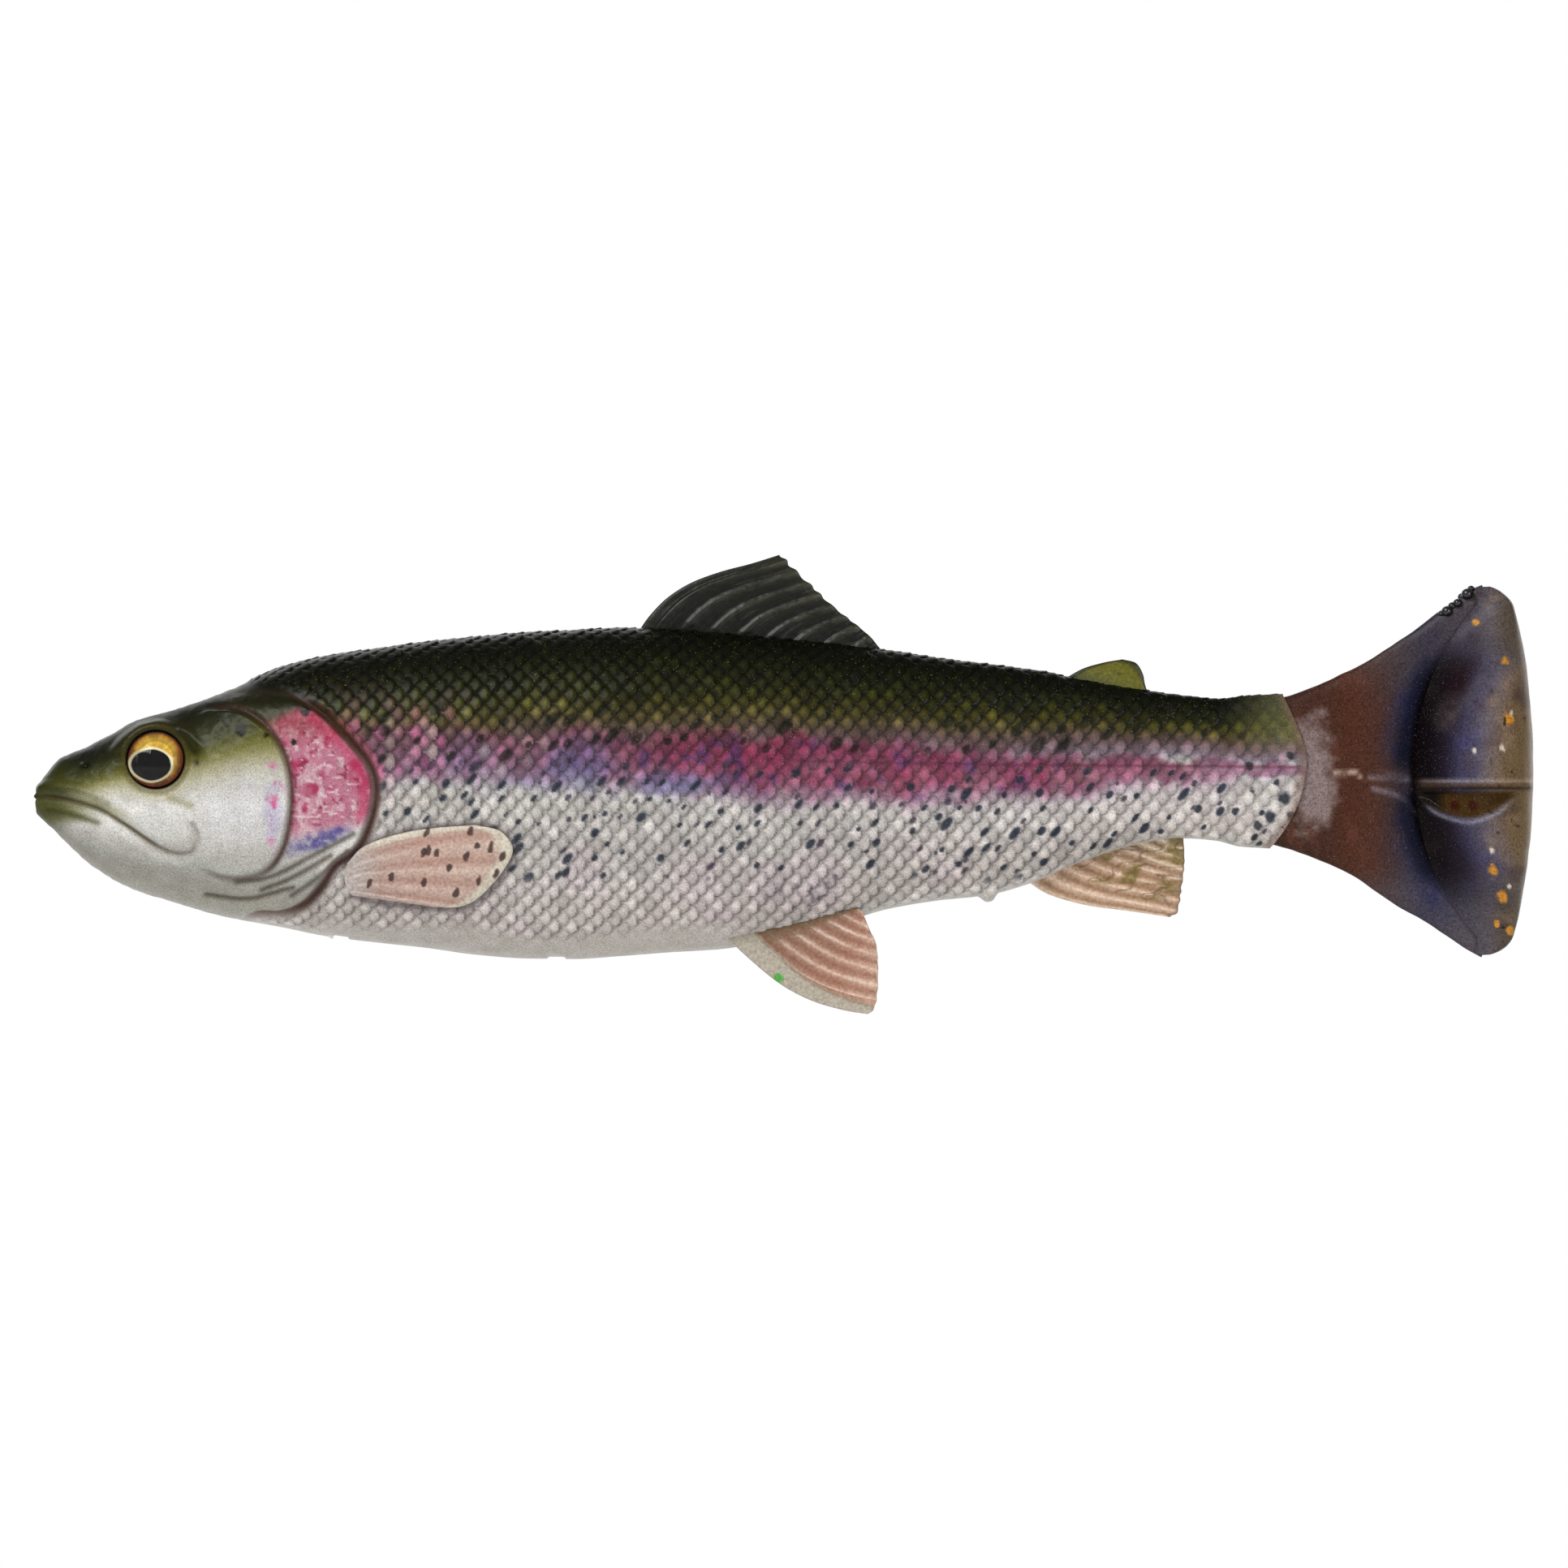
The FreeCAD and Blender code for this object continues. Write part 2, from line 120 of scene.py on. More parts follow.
def noise(x, y, size, seed):
    """Smooth value noise from -1 to 1 over a plane, seeded."""
    table = np.random.default_rng(seed).uniform(-1, 1, (256, 256))
    u, v = np.asarray(x) / size, np.asarray(y) / size
    i, j = np.floor(u).astype(int), np.floor(v).astype(int)
    fu, fv = u - i, v - j
    fu, fv = fu * fu * (3 - 2 * fu), fv * fv * (3 - 2 * fv)
    a, b = table[i % 256, j % 256], table[(i + 1) % 256, j % 256]
    c, d = table[i % 256, (j + 1) % 256], table[(i + 1) % 256, (j + 1) % 256]
    return (a * (1 - fu) + b * fu) * (1 - fv) + (c * (1 - fu) + d * fu) * fv


def cloud(x, y, size, seed):
    """Two octaves of value noise."""
    return 0.65 * noise(x, y, size, seed) + 0.35 * noise(x, y, size * 0.45, seed + 1)


def ladder(value, steps):
    """Colour along a scalar: steps are (value, (r, g, b)) with display colours 0 to 255."""
    keys = [s[0] for s in steps]
    return np.stack([np.interp(value, keys, [s[1][c] for s in steps]) for c in range(3)], -1)


def tint(colour, weight, target):
    """Move colours towards a target by a weight."""
    w = np.clip(weight, 0, 1)[..., None]
    return colour * (1 - w) + np.array(target, float) * w


class Ink:
    """Display colours that are tinted layer by layer."""

    def __init__(self, colour):
        self.colour = colour

    def __call__(self, weight, *target):
        self.colour = tint(self.colour, weight, target)
        return self.colour

    def scale(self, factor):
        self.colour = self.colour * factor[..., None]


def linear(colour):
    c = np.clip(colour, 0, 255) / 255.0
    return np.where(c <= 0.04045, c / 12.92, ((c + 0.055) / 1.055) ** 2.4)


# ---------------------------------------------------------------- meshes
def make_mesh(name, points, faces, body=None, colour=None, fields=None):
    """A smooth-shaded mesh object in metres, with a display-colour attribute and scalar fields."""
    mesh = bpy.data.meshes.new(name)
    verts = np.asarray(points, float).reshape(-1, 3) * MM
    faces = np.asarray(faces, np.int32)
    mesh.vertices.add(len(verts))
    mesh.vertices.foreach_set("co", verts.ravel())
    mesh.loops.add(faces.size)
    mesh.loops.foreach_set("vertex_index", faces.ravel())
    mesh.polygons.add(len(faces))
    sides = faces.shape[1]
    mesh.polygons.foreach_set("loop_start", np.arange(0, faces.size, sides, dtype=np.int32))
    mesh.polygons.foreach_set("loop_total", np.full(len(faces), sides, np.int32))
    mesh.update(calc_edges=True)
    mesh.validate()
    mesh.shade_smooth()
    if colour is not None:
        rgba = np.ones((len(verts), 4))
        rgba[:, :3] = linear(np.asarray(colour).reshape(-1, 3))
        paint = mesh.color_attributes.new("paint", "FLOAT_COLOR", "POINT")
        paint.data.foreach_set("color", rgba.ravel())
    for key, values in (fields or {}).items():
        field = mesh.attributes.new(key, "FLOAT", "POINT")
        field.data.foreach_set("value", np.asarray(values, np.float32).ravel())
    obj = bpy.data.objects.new(name, mesh)
    bpy.context.scene.collection.objects.link(obj)
    if body:
        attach(obj, body)
    return obj


def grid_faces(rows, columns, closed):
    """Quads of a rows by columns grid, wound so that u cross v points out."""
    i = np.arange(rows - 1)[:, None]
    j = np.arange(columns if closed else columns - 1)[None, :]
    k = (j + 1) % columns
    quads = np.stack([i * columns + j + 0 * k, (i + 1) * columns + j + 0 * k,
                      (i + 1) * columns + k + 0 * j, i * columns + k + 0 * j], -1)
    return quads.reshape(-1, 4)


def with_caps(points, faces, colour=None):
    """Close both open ends of a ring grid with a fan of quads to a centre point."""
    rows, columns = points.shape[:2]
    flat = points.reshape(-1, 3)
    extra = np.array([points[0].mean(0), points[-1].mean(0)])
    n = len(flat)
    fans = []
    for centre, base, flip in ((n, 0, False), (n + 1, (rows - 1) * columns, True)):
        for j in range(0, columns, 2):
            a, b, c = base + j, base + (j + 1) % columns, base + (j + 2) % columns
            fans.append((centre, c, b, a) if flip else (centre, a, b, c))
    flat = np.vstack([flat, extra])
    faces = np.vstack([faces, np.array(fans)])
    if colour is not None:
        colour = np.vstack([colour.reshape(-1, 3), colour[0, :1], colour[-1, :1]])
    return flat, faces, colour


def normals(points, closed=True):
    """Unit normals of a grid."""
    du = np.gradient(points, axis=0)
    if closed:
        dv = np.roll(points, -1, 1) - np.roll(points, 1, 1)
    else:
        dv = np.gradient(points, axis=1)
    n = np.cross(du, dv)
    return n / (np.linalg.norm(n, axis=-1, keepdims=True) + 1e-12)


# ---------------------------------------------------------------- materials
class Nodes:
    """Small helper to write a node tree in order."""

    def __init__(self, name):
        self.material = bpy.data.materials.new(name)
        self.material.use_nodes = True
        self.tree = self.material.node_tree
        self.shader = self.tree.nodes["Principled BSDF"]

    def add(self, kind, inputs=None, **settings):
        node = self.tree.nodes.new("ShaderNode" + kind)
        for key, value in settings.items():
            setattr(node, key, value)
        for key, value in (inputs or {}).items():
            self.feed(node.inputs[key], value)
        return node

    def feed(self, socket, value):
        if isinstance(value, bpy.types.NodeSocket):
            self.tree.links.new(value, socket)
        elif isinstance(value, bpy.types.Node):
            self.tree.links.new(value.outputs[0], socket)
        else:
            socket.default_value = value

    def maths(self, operation, a, b=0.0):
        node = self.add("Math", operation=operation)
        self.feed(node.inputs[0], a)
        self.feed(node.inputs[1], b)
        return node.outputs[0]

    def mix(self, factor, a, b, blend="MIX"):
        node = self.add("Mix", data_type="RGBA", blend_type=blend)
        self.feed(node.inputs[0], factor)
        self.feed(node.inputs[6], a)
        self.feed(node.inputs[7], b)
        return node.outputs[2]

    def noise(self, scale, detail=3.0, rough=0.55):
        node = self.add("TexNoise", {"Scale": scale, "Detail": detail, "Roughness": rough})
        self.feed(node.inputs["Vector"], self.place())
        return node.outputs["Fac"]

    def place(self):
        if not hasattr(self, "_place"):
            self._place = self.add("TexCoord").outputs["Object"]
        return self._place

    def ramp(self, factor, stops):
        node = self.add("ValToRGB", {"Fac": factor})
        ramp = node.color_ramp
        while len(ramp.elements) < len(stops):
            ramp.elements.new(0.5)
        for element, (at, colour) in zip(ramp.elements, stops):
            element.position = at
            element.color = (*linear(np.array(colour, float)), 1.0)
        return node.outputs["Color"]

    def bump(self, height, strength, distance, after=None):
        node = self.add("Bump", {"Strength": strength, "Distance": distance})
        self.feed(node.inputs["Height"], height)
        if after is not None:
            self.feed(node.inputs["Normal"], after)
        return node.outputs["Normal"]

    def shade(self, amount, colour, light):
        """Multiply a colour by a shade, as far as amount says."""
        return self.mix(amount, colour, self.mix(1.0, colour, light, "MULTIPLY"))

    def uneven(self, noise, depth, low):
        """A roughness that wanders by depth above low."""
        return self.maths("ADD", self.maths("MULTIPLY", noise, depth), low)

    def attribute(self, name, output="Color"):
        return self.add("Attribute", attribute_name=name).outputs[output]

    def finish(self, **inputs):
        names = {"base": "Base Color", "rough": "Roughness", "metal": "Metallic",
                 "normal": "Normal", "coat": "Coat Weight", "coat_rough": "Coat Roughness",
                 "ior": "IOR", "spec": "Specular IOR Level", "alpha": "Alpha"}
        for key, value in inputs.items():
            self.feed(self.shader.inputs[names[key]], value)
        return self.material


def painted_plastisol(name, grain, rough, coat):
    """Soft vinyl: painted colour, fine pigment speckle, glitter and an uneven satin surface."""
    m = Nodes(name)
    paint = m.attribute("paint")
    speck = m.noise(5200.0, 2.0, 0.6)
    blotch = m.noise(420.0, 3.0, 0.55)
    light = m.ramp(speck, [(0.30, (110, 110, 110)), (0.5, (206, 206, 206)),
                           (0.7, (255, 255, 255))])
    colour = m.shade(grain, paint, light)
    shade = m.ramp(blotch, [(0.3, (214, 212, 208)), (0.7, (255, 255, 255))])
    colour = m.shade(0.5, colour, shade)
    glitter = m.ramp(m.noise(4300.0, 1.0, 0.5), [(0.68, (0, 0, 0)), (0.79, (92, 92, 32))])
    colour = m.mix(m.attribute("glitter", "Fac"), colour, glitter, "ADD")
    uneven = m.uneven(m.noise(900.0), 0.16, rough - 0.08)
    normal = m.bump(speck, 0.25, 0.00006)
    normal = m.bump(m.noise(1400.0, 2.0), 0.25, 0.00012, normal)
    return m.finish(base=colour, rough=uneven, normal=normal, coat=coat, coat_rough=0.16,
                    ior=1.45, spec=0.09)


# ---------------------------------------------------------------- body
BODY_RINGS = [
    (1.2, 1.12, -1.12, 1.12), (-0.5, 1.14, -1.14, 1.16), (-1.1, 1.35, -1.35, 1.5),
    (-1.3, 1.65, -1.75, 2.0), (-0.8, 2.4, -2.4, 2.7), (0.3, 3.8, -3.4, 3.5), (2.0, 5.6, -5.0, 4.7),
    (5.2, 6.9, -8.1, 6.5), (8.5, 8.6, -10.4, 7.8), (11.7, 10.4, -12.0, 8.9),
    (18.2, 12.3, -14.0, 10.5), (24.7, 14.7, -15.8, 11.4), (31.2, 17.5, -17.0, 12.0),
    (37.7, 19.1, -18.3, 12.3), (44.2, 20.0, -19.1, 12.5), (50.7, 20.9, -19.8, 12.7),
    (57.2, 21.5, -20.7, 12.8), (63.7, 22.1, -21.2, 12.7), (70.2, 22.4, -21.3, 12.5),
    (76.7, 22.7, -20.9, 12.2), (83.2, 22.5, -20.4, 11.7), (89.7, 22.0, -20.0, 11.1),
    (97.8, 21.3, -18.6, 10.2), (105.9, 20.5, -16.5, 9.3), (112.4, 19.7, -14.6, 8.4),
    (118.9, 18.7, -13.5, 7.5), (125.4, 17.9, -12.8, 6.6), (131.9, 17.1, -11.0, 5.8),
    (138.4, 15.8, -8.3, 5.0), (144.9, 14.7, -6.2, 4.3), (151.4, 13.8, -5.2, 3.6),
    (157.9, 13.3, -5.5, 3.0), (164.4, 13.75, -6.3, 2.65), (169.5, 13.95, -6.55, 2.45)]
PAINT_EDGE = [
    (-6.6, 163.2), (-4.0, 165.2), (-1.3, 166.7), (2.5, 167.8), (5.4, 168.1), (9.2, 167.1),
    (12.1, 165.8), (13.8, 165.0)]
GILL = rounded([
    (24.0, 16.6), (26.7, 14.9), (30.2, 14.3), (33.5, 13.3), (37.1, 11.0), (40.7, 7.4), (43.0, 4.4),
    (43.8, 1.6), (43.5, -1.4), (42.6, -4.2), (41.2, -6.6), (38.4, -8.6), (36.7, -11.2),
    (34.4, -13.6), (31.6, -14.7), (28.0, -14.9), (24.0, -17.5)])
GILL = np.vstack([GILL, [(-8, -25), (-8, 25)]])
CHEEK = rounded([
    (22.0, 11.9), (26.2, 11.5), (29.3, 9.6), (31.5, 6.6), (32.5, 3.2), (32.7, 0.2), (32.4, -3.2),
    (31.6, -6.4), (29.9, -8.9), (27.2, -10.1), (24.2, -10.2), (20.5, -9.2)])
CHEEK = np.vstack([CHEEK, [(14, -4), (14, 10)]])
MAXILLA = rounded([
    (-1.2, 0.9), (2.5, 0.3), (6.9, -0.9), (10.4, -2.9), (15.0, -5.9), (17.6, -6.9), (19.4, -6.6),
    (19.9, -5.2), (19.2, -3.4), (16.6, -1.6), (12.0, 0.2), (7.0, 1.9), (2.0, 2.8), (-0.8, 2.4)],
    closed=True)
MOUTH = rounded([
    (-1.6, 0.45), (2.5, 0.0), (6.9, -1.2), (10.4, -3.2), (15.0, -6.3), (17.6, -7.3), (19.6, -7.0),
    (20.4, -5.2), (19.7, -3.4)])
THROAT = [rounded([(25.5, -10.9), (30.4, -10.2), (35.5, -7.6), (41.2, -4.6)]),
          rounded([(29.0, -11.9), (33.0, -10.4), (38.2, -7.4)]),
          rounded([(21.5, -12.6), (27.0, -13.0), (33.2, -11.6)]),
          rounded([(33.0, -12.6), (36.0, -10.6), (40.4, -6.8)])]
PECTORAL = rounded([
    (40.4, -8.4), (42.6, -6.2), (47.1, -4.6), (51.7, -3.8), (57.4, -3.4), (60.7, -4.2),
    (62.4, -6.6), (61.0, -9.6), (57.9, -13.0), (55.2, -14.3), (52.0, -14.3), (46.0, -13.8),
    (41.0, -12.8)])
BROW = rounded([(9.6, 6.6), (11.6, 9.1), (14.8, 10.1), (18.0, 9.4), (20.2, 7.0)])
EDGE_SPOTS = [
    (163.2, -2.3, 0.75), (165.1, 0.2, 0.75), (166.1, -2.3, 0.6), (165.9, 5.8, 0.5),
    (164.2, 7.7, 0.5), (166.7, 7.5, 0.3), (164.0, 2.3, 0.35), (161.5, -3.5, 0.6),
    (160.5, 4.5, 0.5), (158.6, -1.6, 0.5), (160.9, 1.1, 0.4)]
EYE_X, EYE_Z, EYE_R = 14.8, 5.25, 3.8
EYE_SEAT = 6.9
PAINT_END = 169.5
SCALE_PITCH, ROW_PITCH, SCALE_REACH = 2.3, 1.33, 1.25
LATERAL = [(25, 6.0), (60, 6.4), (90, 5.4), (120, 4.7), (165, 4.3)]


def eye_plane(x, z):
    """Distance of the eye's seat plane from the middle plane."""
    return EYE_SEAT + 0.10 * (x - EYE_X) - 0.17 * (z - EYE_Z)


def tile(s, t):
    """Overlapping scales, free edge to the tail: reach from the free edge, shadow, side, ids."""
    best = None
    behind = np.full(s.shape, 9.0)
    facing = np.zeros(s.shape)
    row0 = np.floor(t / ROW_PITCH)
    for r in (0, 1):
        row = row0 + r
        side = (t - row * ROW_PITCH) / ROW_PITCH
        reach = SCALE_REACH * np.sqrt(np.maximum(0.0, 1.0 - side ** 2))
        d = s - np.where(row % 2 == 1, SCALE_PITCH / 2, 0.0)
        e = np.mod(reach - d, SCALE_PITCH)
        ahead = reach - e
        gap = SCALE_PITCH - e
        facing = np.where(gap < behind, side, facing)
        behind = np.minimum(behind, gap)
        column = np.round((d - ahead) / SCALE_PITCH)
        if best is None:
            best = [ahead, e, side, column, row]
        else:
            take = ahead > best[0]
            best = [np.where(take, a, b) for a, b in zip((ahead, e, side, column, row), best)]
    return best[1], behind, facing, best[2], best[3], best[4]


def scatter(column, row, seed):
    """One random number per scale."""
    v = np.sin(column * 127.1 + row * 311.7 + seed * 74.7) * 43758.5453
    return v - np.floor(v)


BACK = [
    (-1.0, (200, 196, 190)), (-0.85, (188, 180, 174)), (-0.65, (190, 182, 178)),
    (-0.45, (188, 182, 178)), (-0.2, (184, 179, 175)), (-0.05, (178, 174, 168)),
    (0.08, (158, 154, 154)), (0.18, (128, 114, 124)), (0.28, (100, 82, 88)), (0.38, (75, 60, 56)),
    (0.47, (60, 53, 31)), (0.56, (42, 40, 14)), (0.65, (29, 30, 8)), (0.75, (19, 21, 5)),
    (0.85, (13, 15, 4)), (0.94, (8, 9, 3)), (1.0, (6, 7, 3))]
HEAD = [
    (-1.0, (182, 180, 172)), (-0.85, (166, 164, 152)), (-0.72, (156, 154, 145)),
    (-0.58, (168, 168, 161)), (-0.44, (180, 176, 171)), (-0.3, (197, 196, 191)),
    (-0.02, (213, 212, 208)), (0.11, (199, 197, 190)), (0.25, (180, 177, 156)),
    (0.36, (148, 144, 104)), (0.46, (100, 98, 46)), (0.58, (58, 60, 18)), (0.75, (31, 33, 12)),
    (1.0, (14, 15, 8))]


def dots(s, t, cell, chance, small, large, seed):
    """Scattered spots, one at most per cell, leaning along the rows of scales."""
    a, b = np.floor(s / cell), np.floor(t / cell)
    best = np.zeros(s.shape)
    for i in (-1, 0, 1):
        for j in (-1, 0, 1):
            p, q = a + i, b + j
            px = (p + 0.15 + 0.7 * scatter(p, q, seed)) * cell
            py = (q + 0.15 + 0.7 * scatter(p, q, seed + 1)) * cell
            size = small + (large - small) * scatter(p, q, seed + 2) ** 1.5
            lean = 0.75 + 0.5 * (scatter(p, q, seed + 3) - 0.5)
            u, v = s - px, t - py
            along = (u * math.cos(0.85) + v * math.sin(0.85)) * lean
            across = (-u * math.sin(0.85) + v * math.cos(0.85)) * 1.2
            away = np.hypot(along, across) / size
            keep = scatter(p, q, seed + 4) < chance
            best = np.maximum(best, np.where(keep, smooth(1.25, 0.75, away), 0))
    return best


def roundness(x):
    """Exponent of the body's superelliptic section along its length."""
    return np.interp(x, [0, 12, 30, 60, 120, 168], [2.0, 2.3, 2.25, 2.15, 2.1, 2.2])


def build_body():
    """Half of the skin on a grid, from the mouth's inside to the paint edge, then mirrored."""
    rings = np.array(BODY_RINGS)
    along = np.concatenate([[0], np.cumsum(np.hypot(np.diff(rings[:, 0]),
                                                    np.abs(np.diff(rings[:, 1]))))])
    count = int(along[-1] / STEP)
    u = np.linspace(0, along[-1], count)
    x, top, bottom, half = [curve(u, np.column_stack([along, rings[:, k]])) for k in range(4)]
    ref = np.linspace(-math.pi / 2, math.pi / 2, 2001)
    arc = np.concatenate([[0], np.cumsum(np.hypot(np.diff(21 * np.sin(ref)),
                                                  np.diff(12.5 * np.cos(ref))))])
    nh = int(arc[-1] / STEP) // 2 * 2 + 1
    theta = np.interp(np.linspace(0, arc[-1], nh), arc, ref)
    power = 2.0 / roundness(x)[:, None]
    sx, cx = np.sin(theta)[None, :], np.cos(theta)[None, :]
    zc, hh = ((top + bottom) / 2)[:, None], ((top - bottom) / 2)[:, None]
    q = np.sign(sx) * np.abs(sx) ** power
    z = zc + hh * q
    y = -half[:, None] * np.maximum(cx, 0) ** power
    x = np.repeat(x[:, None], nh, 1)
    stretch = smooth(150, PAINT_END, x)
    shift = stretch * (curve(z, PAINT_EDGE) - PAINT_END)
    x = x + shift
    s = np.repeat(u[:, None], nh, 1) + shift

    # flatten the sides of the head around the eye and sink the eye's seat
    r = np.hypot(x - EYE_X, z - EYE_Z)
    seat = eye_plane(x, z)
    side = smooth(0, 3, -y)
    near = smooth(7.4 - 0.5 * np.clip(z - EYE_Z, 0, 4), 4.4, r) * side
    y = y * (1 - near) - (seat + 0.55) * near

    grid = np.stack([x, y, z], -1)
    n = normals(grid, closed=False)
    n = np.where((n[..., 1:2] * y[..., None] + n[..., 2:3] * (z - zc)[..., None]) < 0, -n, n)
    n[:, 0, :2] *= (1, 0)
    n[:, -1, :2] *= (1, 0)

    ring = np.hypot(np.diff(y, axis=1), np.diff(z, axis=1))
    arc = np.concatenate([np.zeros((count, 1)), np.cumsum(ring, 1)], 1)
    level = curve(x[:, nh // 2], LATERAL)
    zero = np.array([np.interp(level[i], z[i], arc[i]) for i in range(count)])
    t = arc - zero[:, None]

    flank = smooth(0.6, 3.0, -y)
    gill = signed_distance(x, z, GILL)
    cheek = signed_distance(x, z, CHEEK)
    jaw = signed_distance(x, z, MAXILLA)
    mouth = line_distance(x, z, MOUTH)
    throat = np.min([line_distance(x, z, line) for line in THROAT], axis=0)
    brow = line_distance(x, z, BROW)
    head = x < 50

    e, behind, facing, across, column, row = tile(s, t)
    belly = (smooth(-0.80, -0.93, q + 0.06 * cloud(x, z, 9, 3)) * smooth(33, 42, x)
             * smooth(100, 84, x))
    scaled = smooth(0.4, 1.6, gill) * (1 - belly) * smooth(-1.0, -0.93, q)
    lift = (1 - e / SCALE_PITCH) ** 0.8 * (1 - 0.45 * across ** 2) * smooth(0.0, 0.3, e + 0.12)
    vary = 0.8 + 0.4 * scatter(column, row, 1)
    size = 0.36 * np.interp(x, [30, 60, 120, 168], [0.75, 1.0, 1.0, 0.7])
    height = scaled * size * lift * vary

    gap = np.maximum(-gill, 0)
    nape = smooth(14.4, 11.6, z) * smooth(-16.8, -13.8, z)
    height += nape * np.where(head, 0.85 * smooth(0, 0.55, -gill) * np.exp(-gap / 4.5) * flank
                       - 0.32 * bell(gill - 0.35, 0.45) * flank, 0)
    gap = np.maximum(-cheek, 0)
    rear = smooth(19.5, 24.0, x) * smooth(5.0, 7.0, r)
    height += np.where(head, (0.55 * smooth(0, 0.6, -cheek) * np.exp(-gap / 3.5)
                              - 0.22 * bell(cheek - 0.3, 0.4)) * flank * rear, 0)
    height += np.where(head, 0.5 * smooth(0.1, -1.3, jaw) * smooth(4.6, 6.0, r), 0)
    height -= np.where(head, 0.4 * bell(mouth, 0.36) * smooth(-2.2, -1.2, x), 0)
    height -= np.where(head, 0.32 * bell(throat, 0.36) * flank * smooth(0.6, -0.4, gill), 0)
    height += np.where(head, 0.22 * bell(brow, 0.8) * flank, 0)
    height += 0.26 * bell(r - 4.3, 0.5) * side
    height += 0.05 * cloud(x, z, 2.6, 11) * smooth(26, 8, x) * smooth(4.8, 6.0, r)
    height += 0.07 * cloud(x, z, 0.9, 13) * np.where(head, smooth(0.2, -0.8, gill), 0)
    height -= 0.10 * bell(t, 0.25) * scaled * smooth(92, 104, x)
    nostril = np.minimum(np.hypot(x - 5.3, (z - 4.6) * 1.4), np.hypot(x - 20.2, z - 4.9) + 0.25)
    height -= 0.5 * bell(nostril, 0.5)
    height += 0.9 * smooth(1.5, 0.3, np.hypot(x - 125.7, (z + 13.0) * 0.8))
    keel = smooth(-0.965, -0.995, q)
    for low, high in ((37.7, 40.3), (67.0, 69.2)):
        height -= 0.3 * keel * smooth(low - 0.2, low + 0.1, x) * smooth(high + 0.2, high - 0.1, x)
    point = grid + n * height[..., None]
    pit = smooth(4.0, 3.75, r) * side
    point[..., 1] = point[..., 1] * (1 - pit) - (seat - 0.35) * pit

    colour = paint_body(x, z, q, s, t, r, gill, cheek, mouth, throat, brow, nostril,
                        scaled, e, behind, facing, across, column, row, belly)
    back = point[:, -2:0:-1].copy()
    back[..., 1] *= -1
    full = np.concatenate([point, back], 1)
    full[:, 0, 1] = full[:, nh - 1, 1] = 0.0
    colours = np.concatenate([colour, colour[:, -2:0:-1]], 1)
    columns = full.shape[1]
    faces = grid_faces(count, columns, True)[:, ::-1]
    shine = smooth(0.0, 0.3, scaled) * smooth(-0.9, -0.7, q) * 0.9 + 0.25 * (1 - scaled)
    shine = np.concatenate([shine, shine[:, -2:0:-1]], 1)
    skin = make_mesh("body_skin", full, faces, colour=colours, fields={"glitter": shine})
    skin.data.materials.append(painted_plastisol("body_paint", 0.6, 0.38, 0.02))
    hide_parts("body_front", "body_rear")
    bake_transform(skin)
    return skin


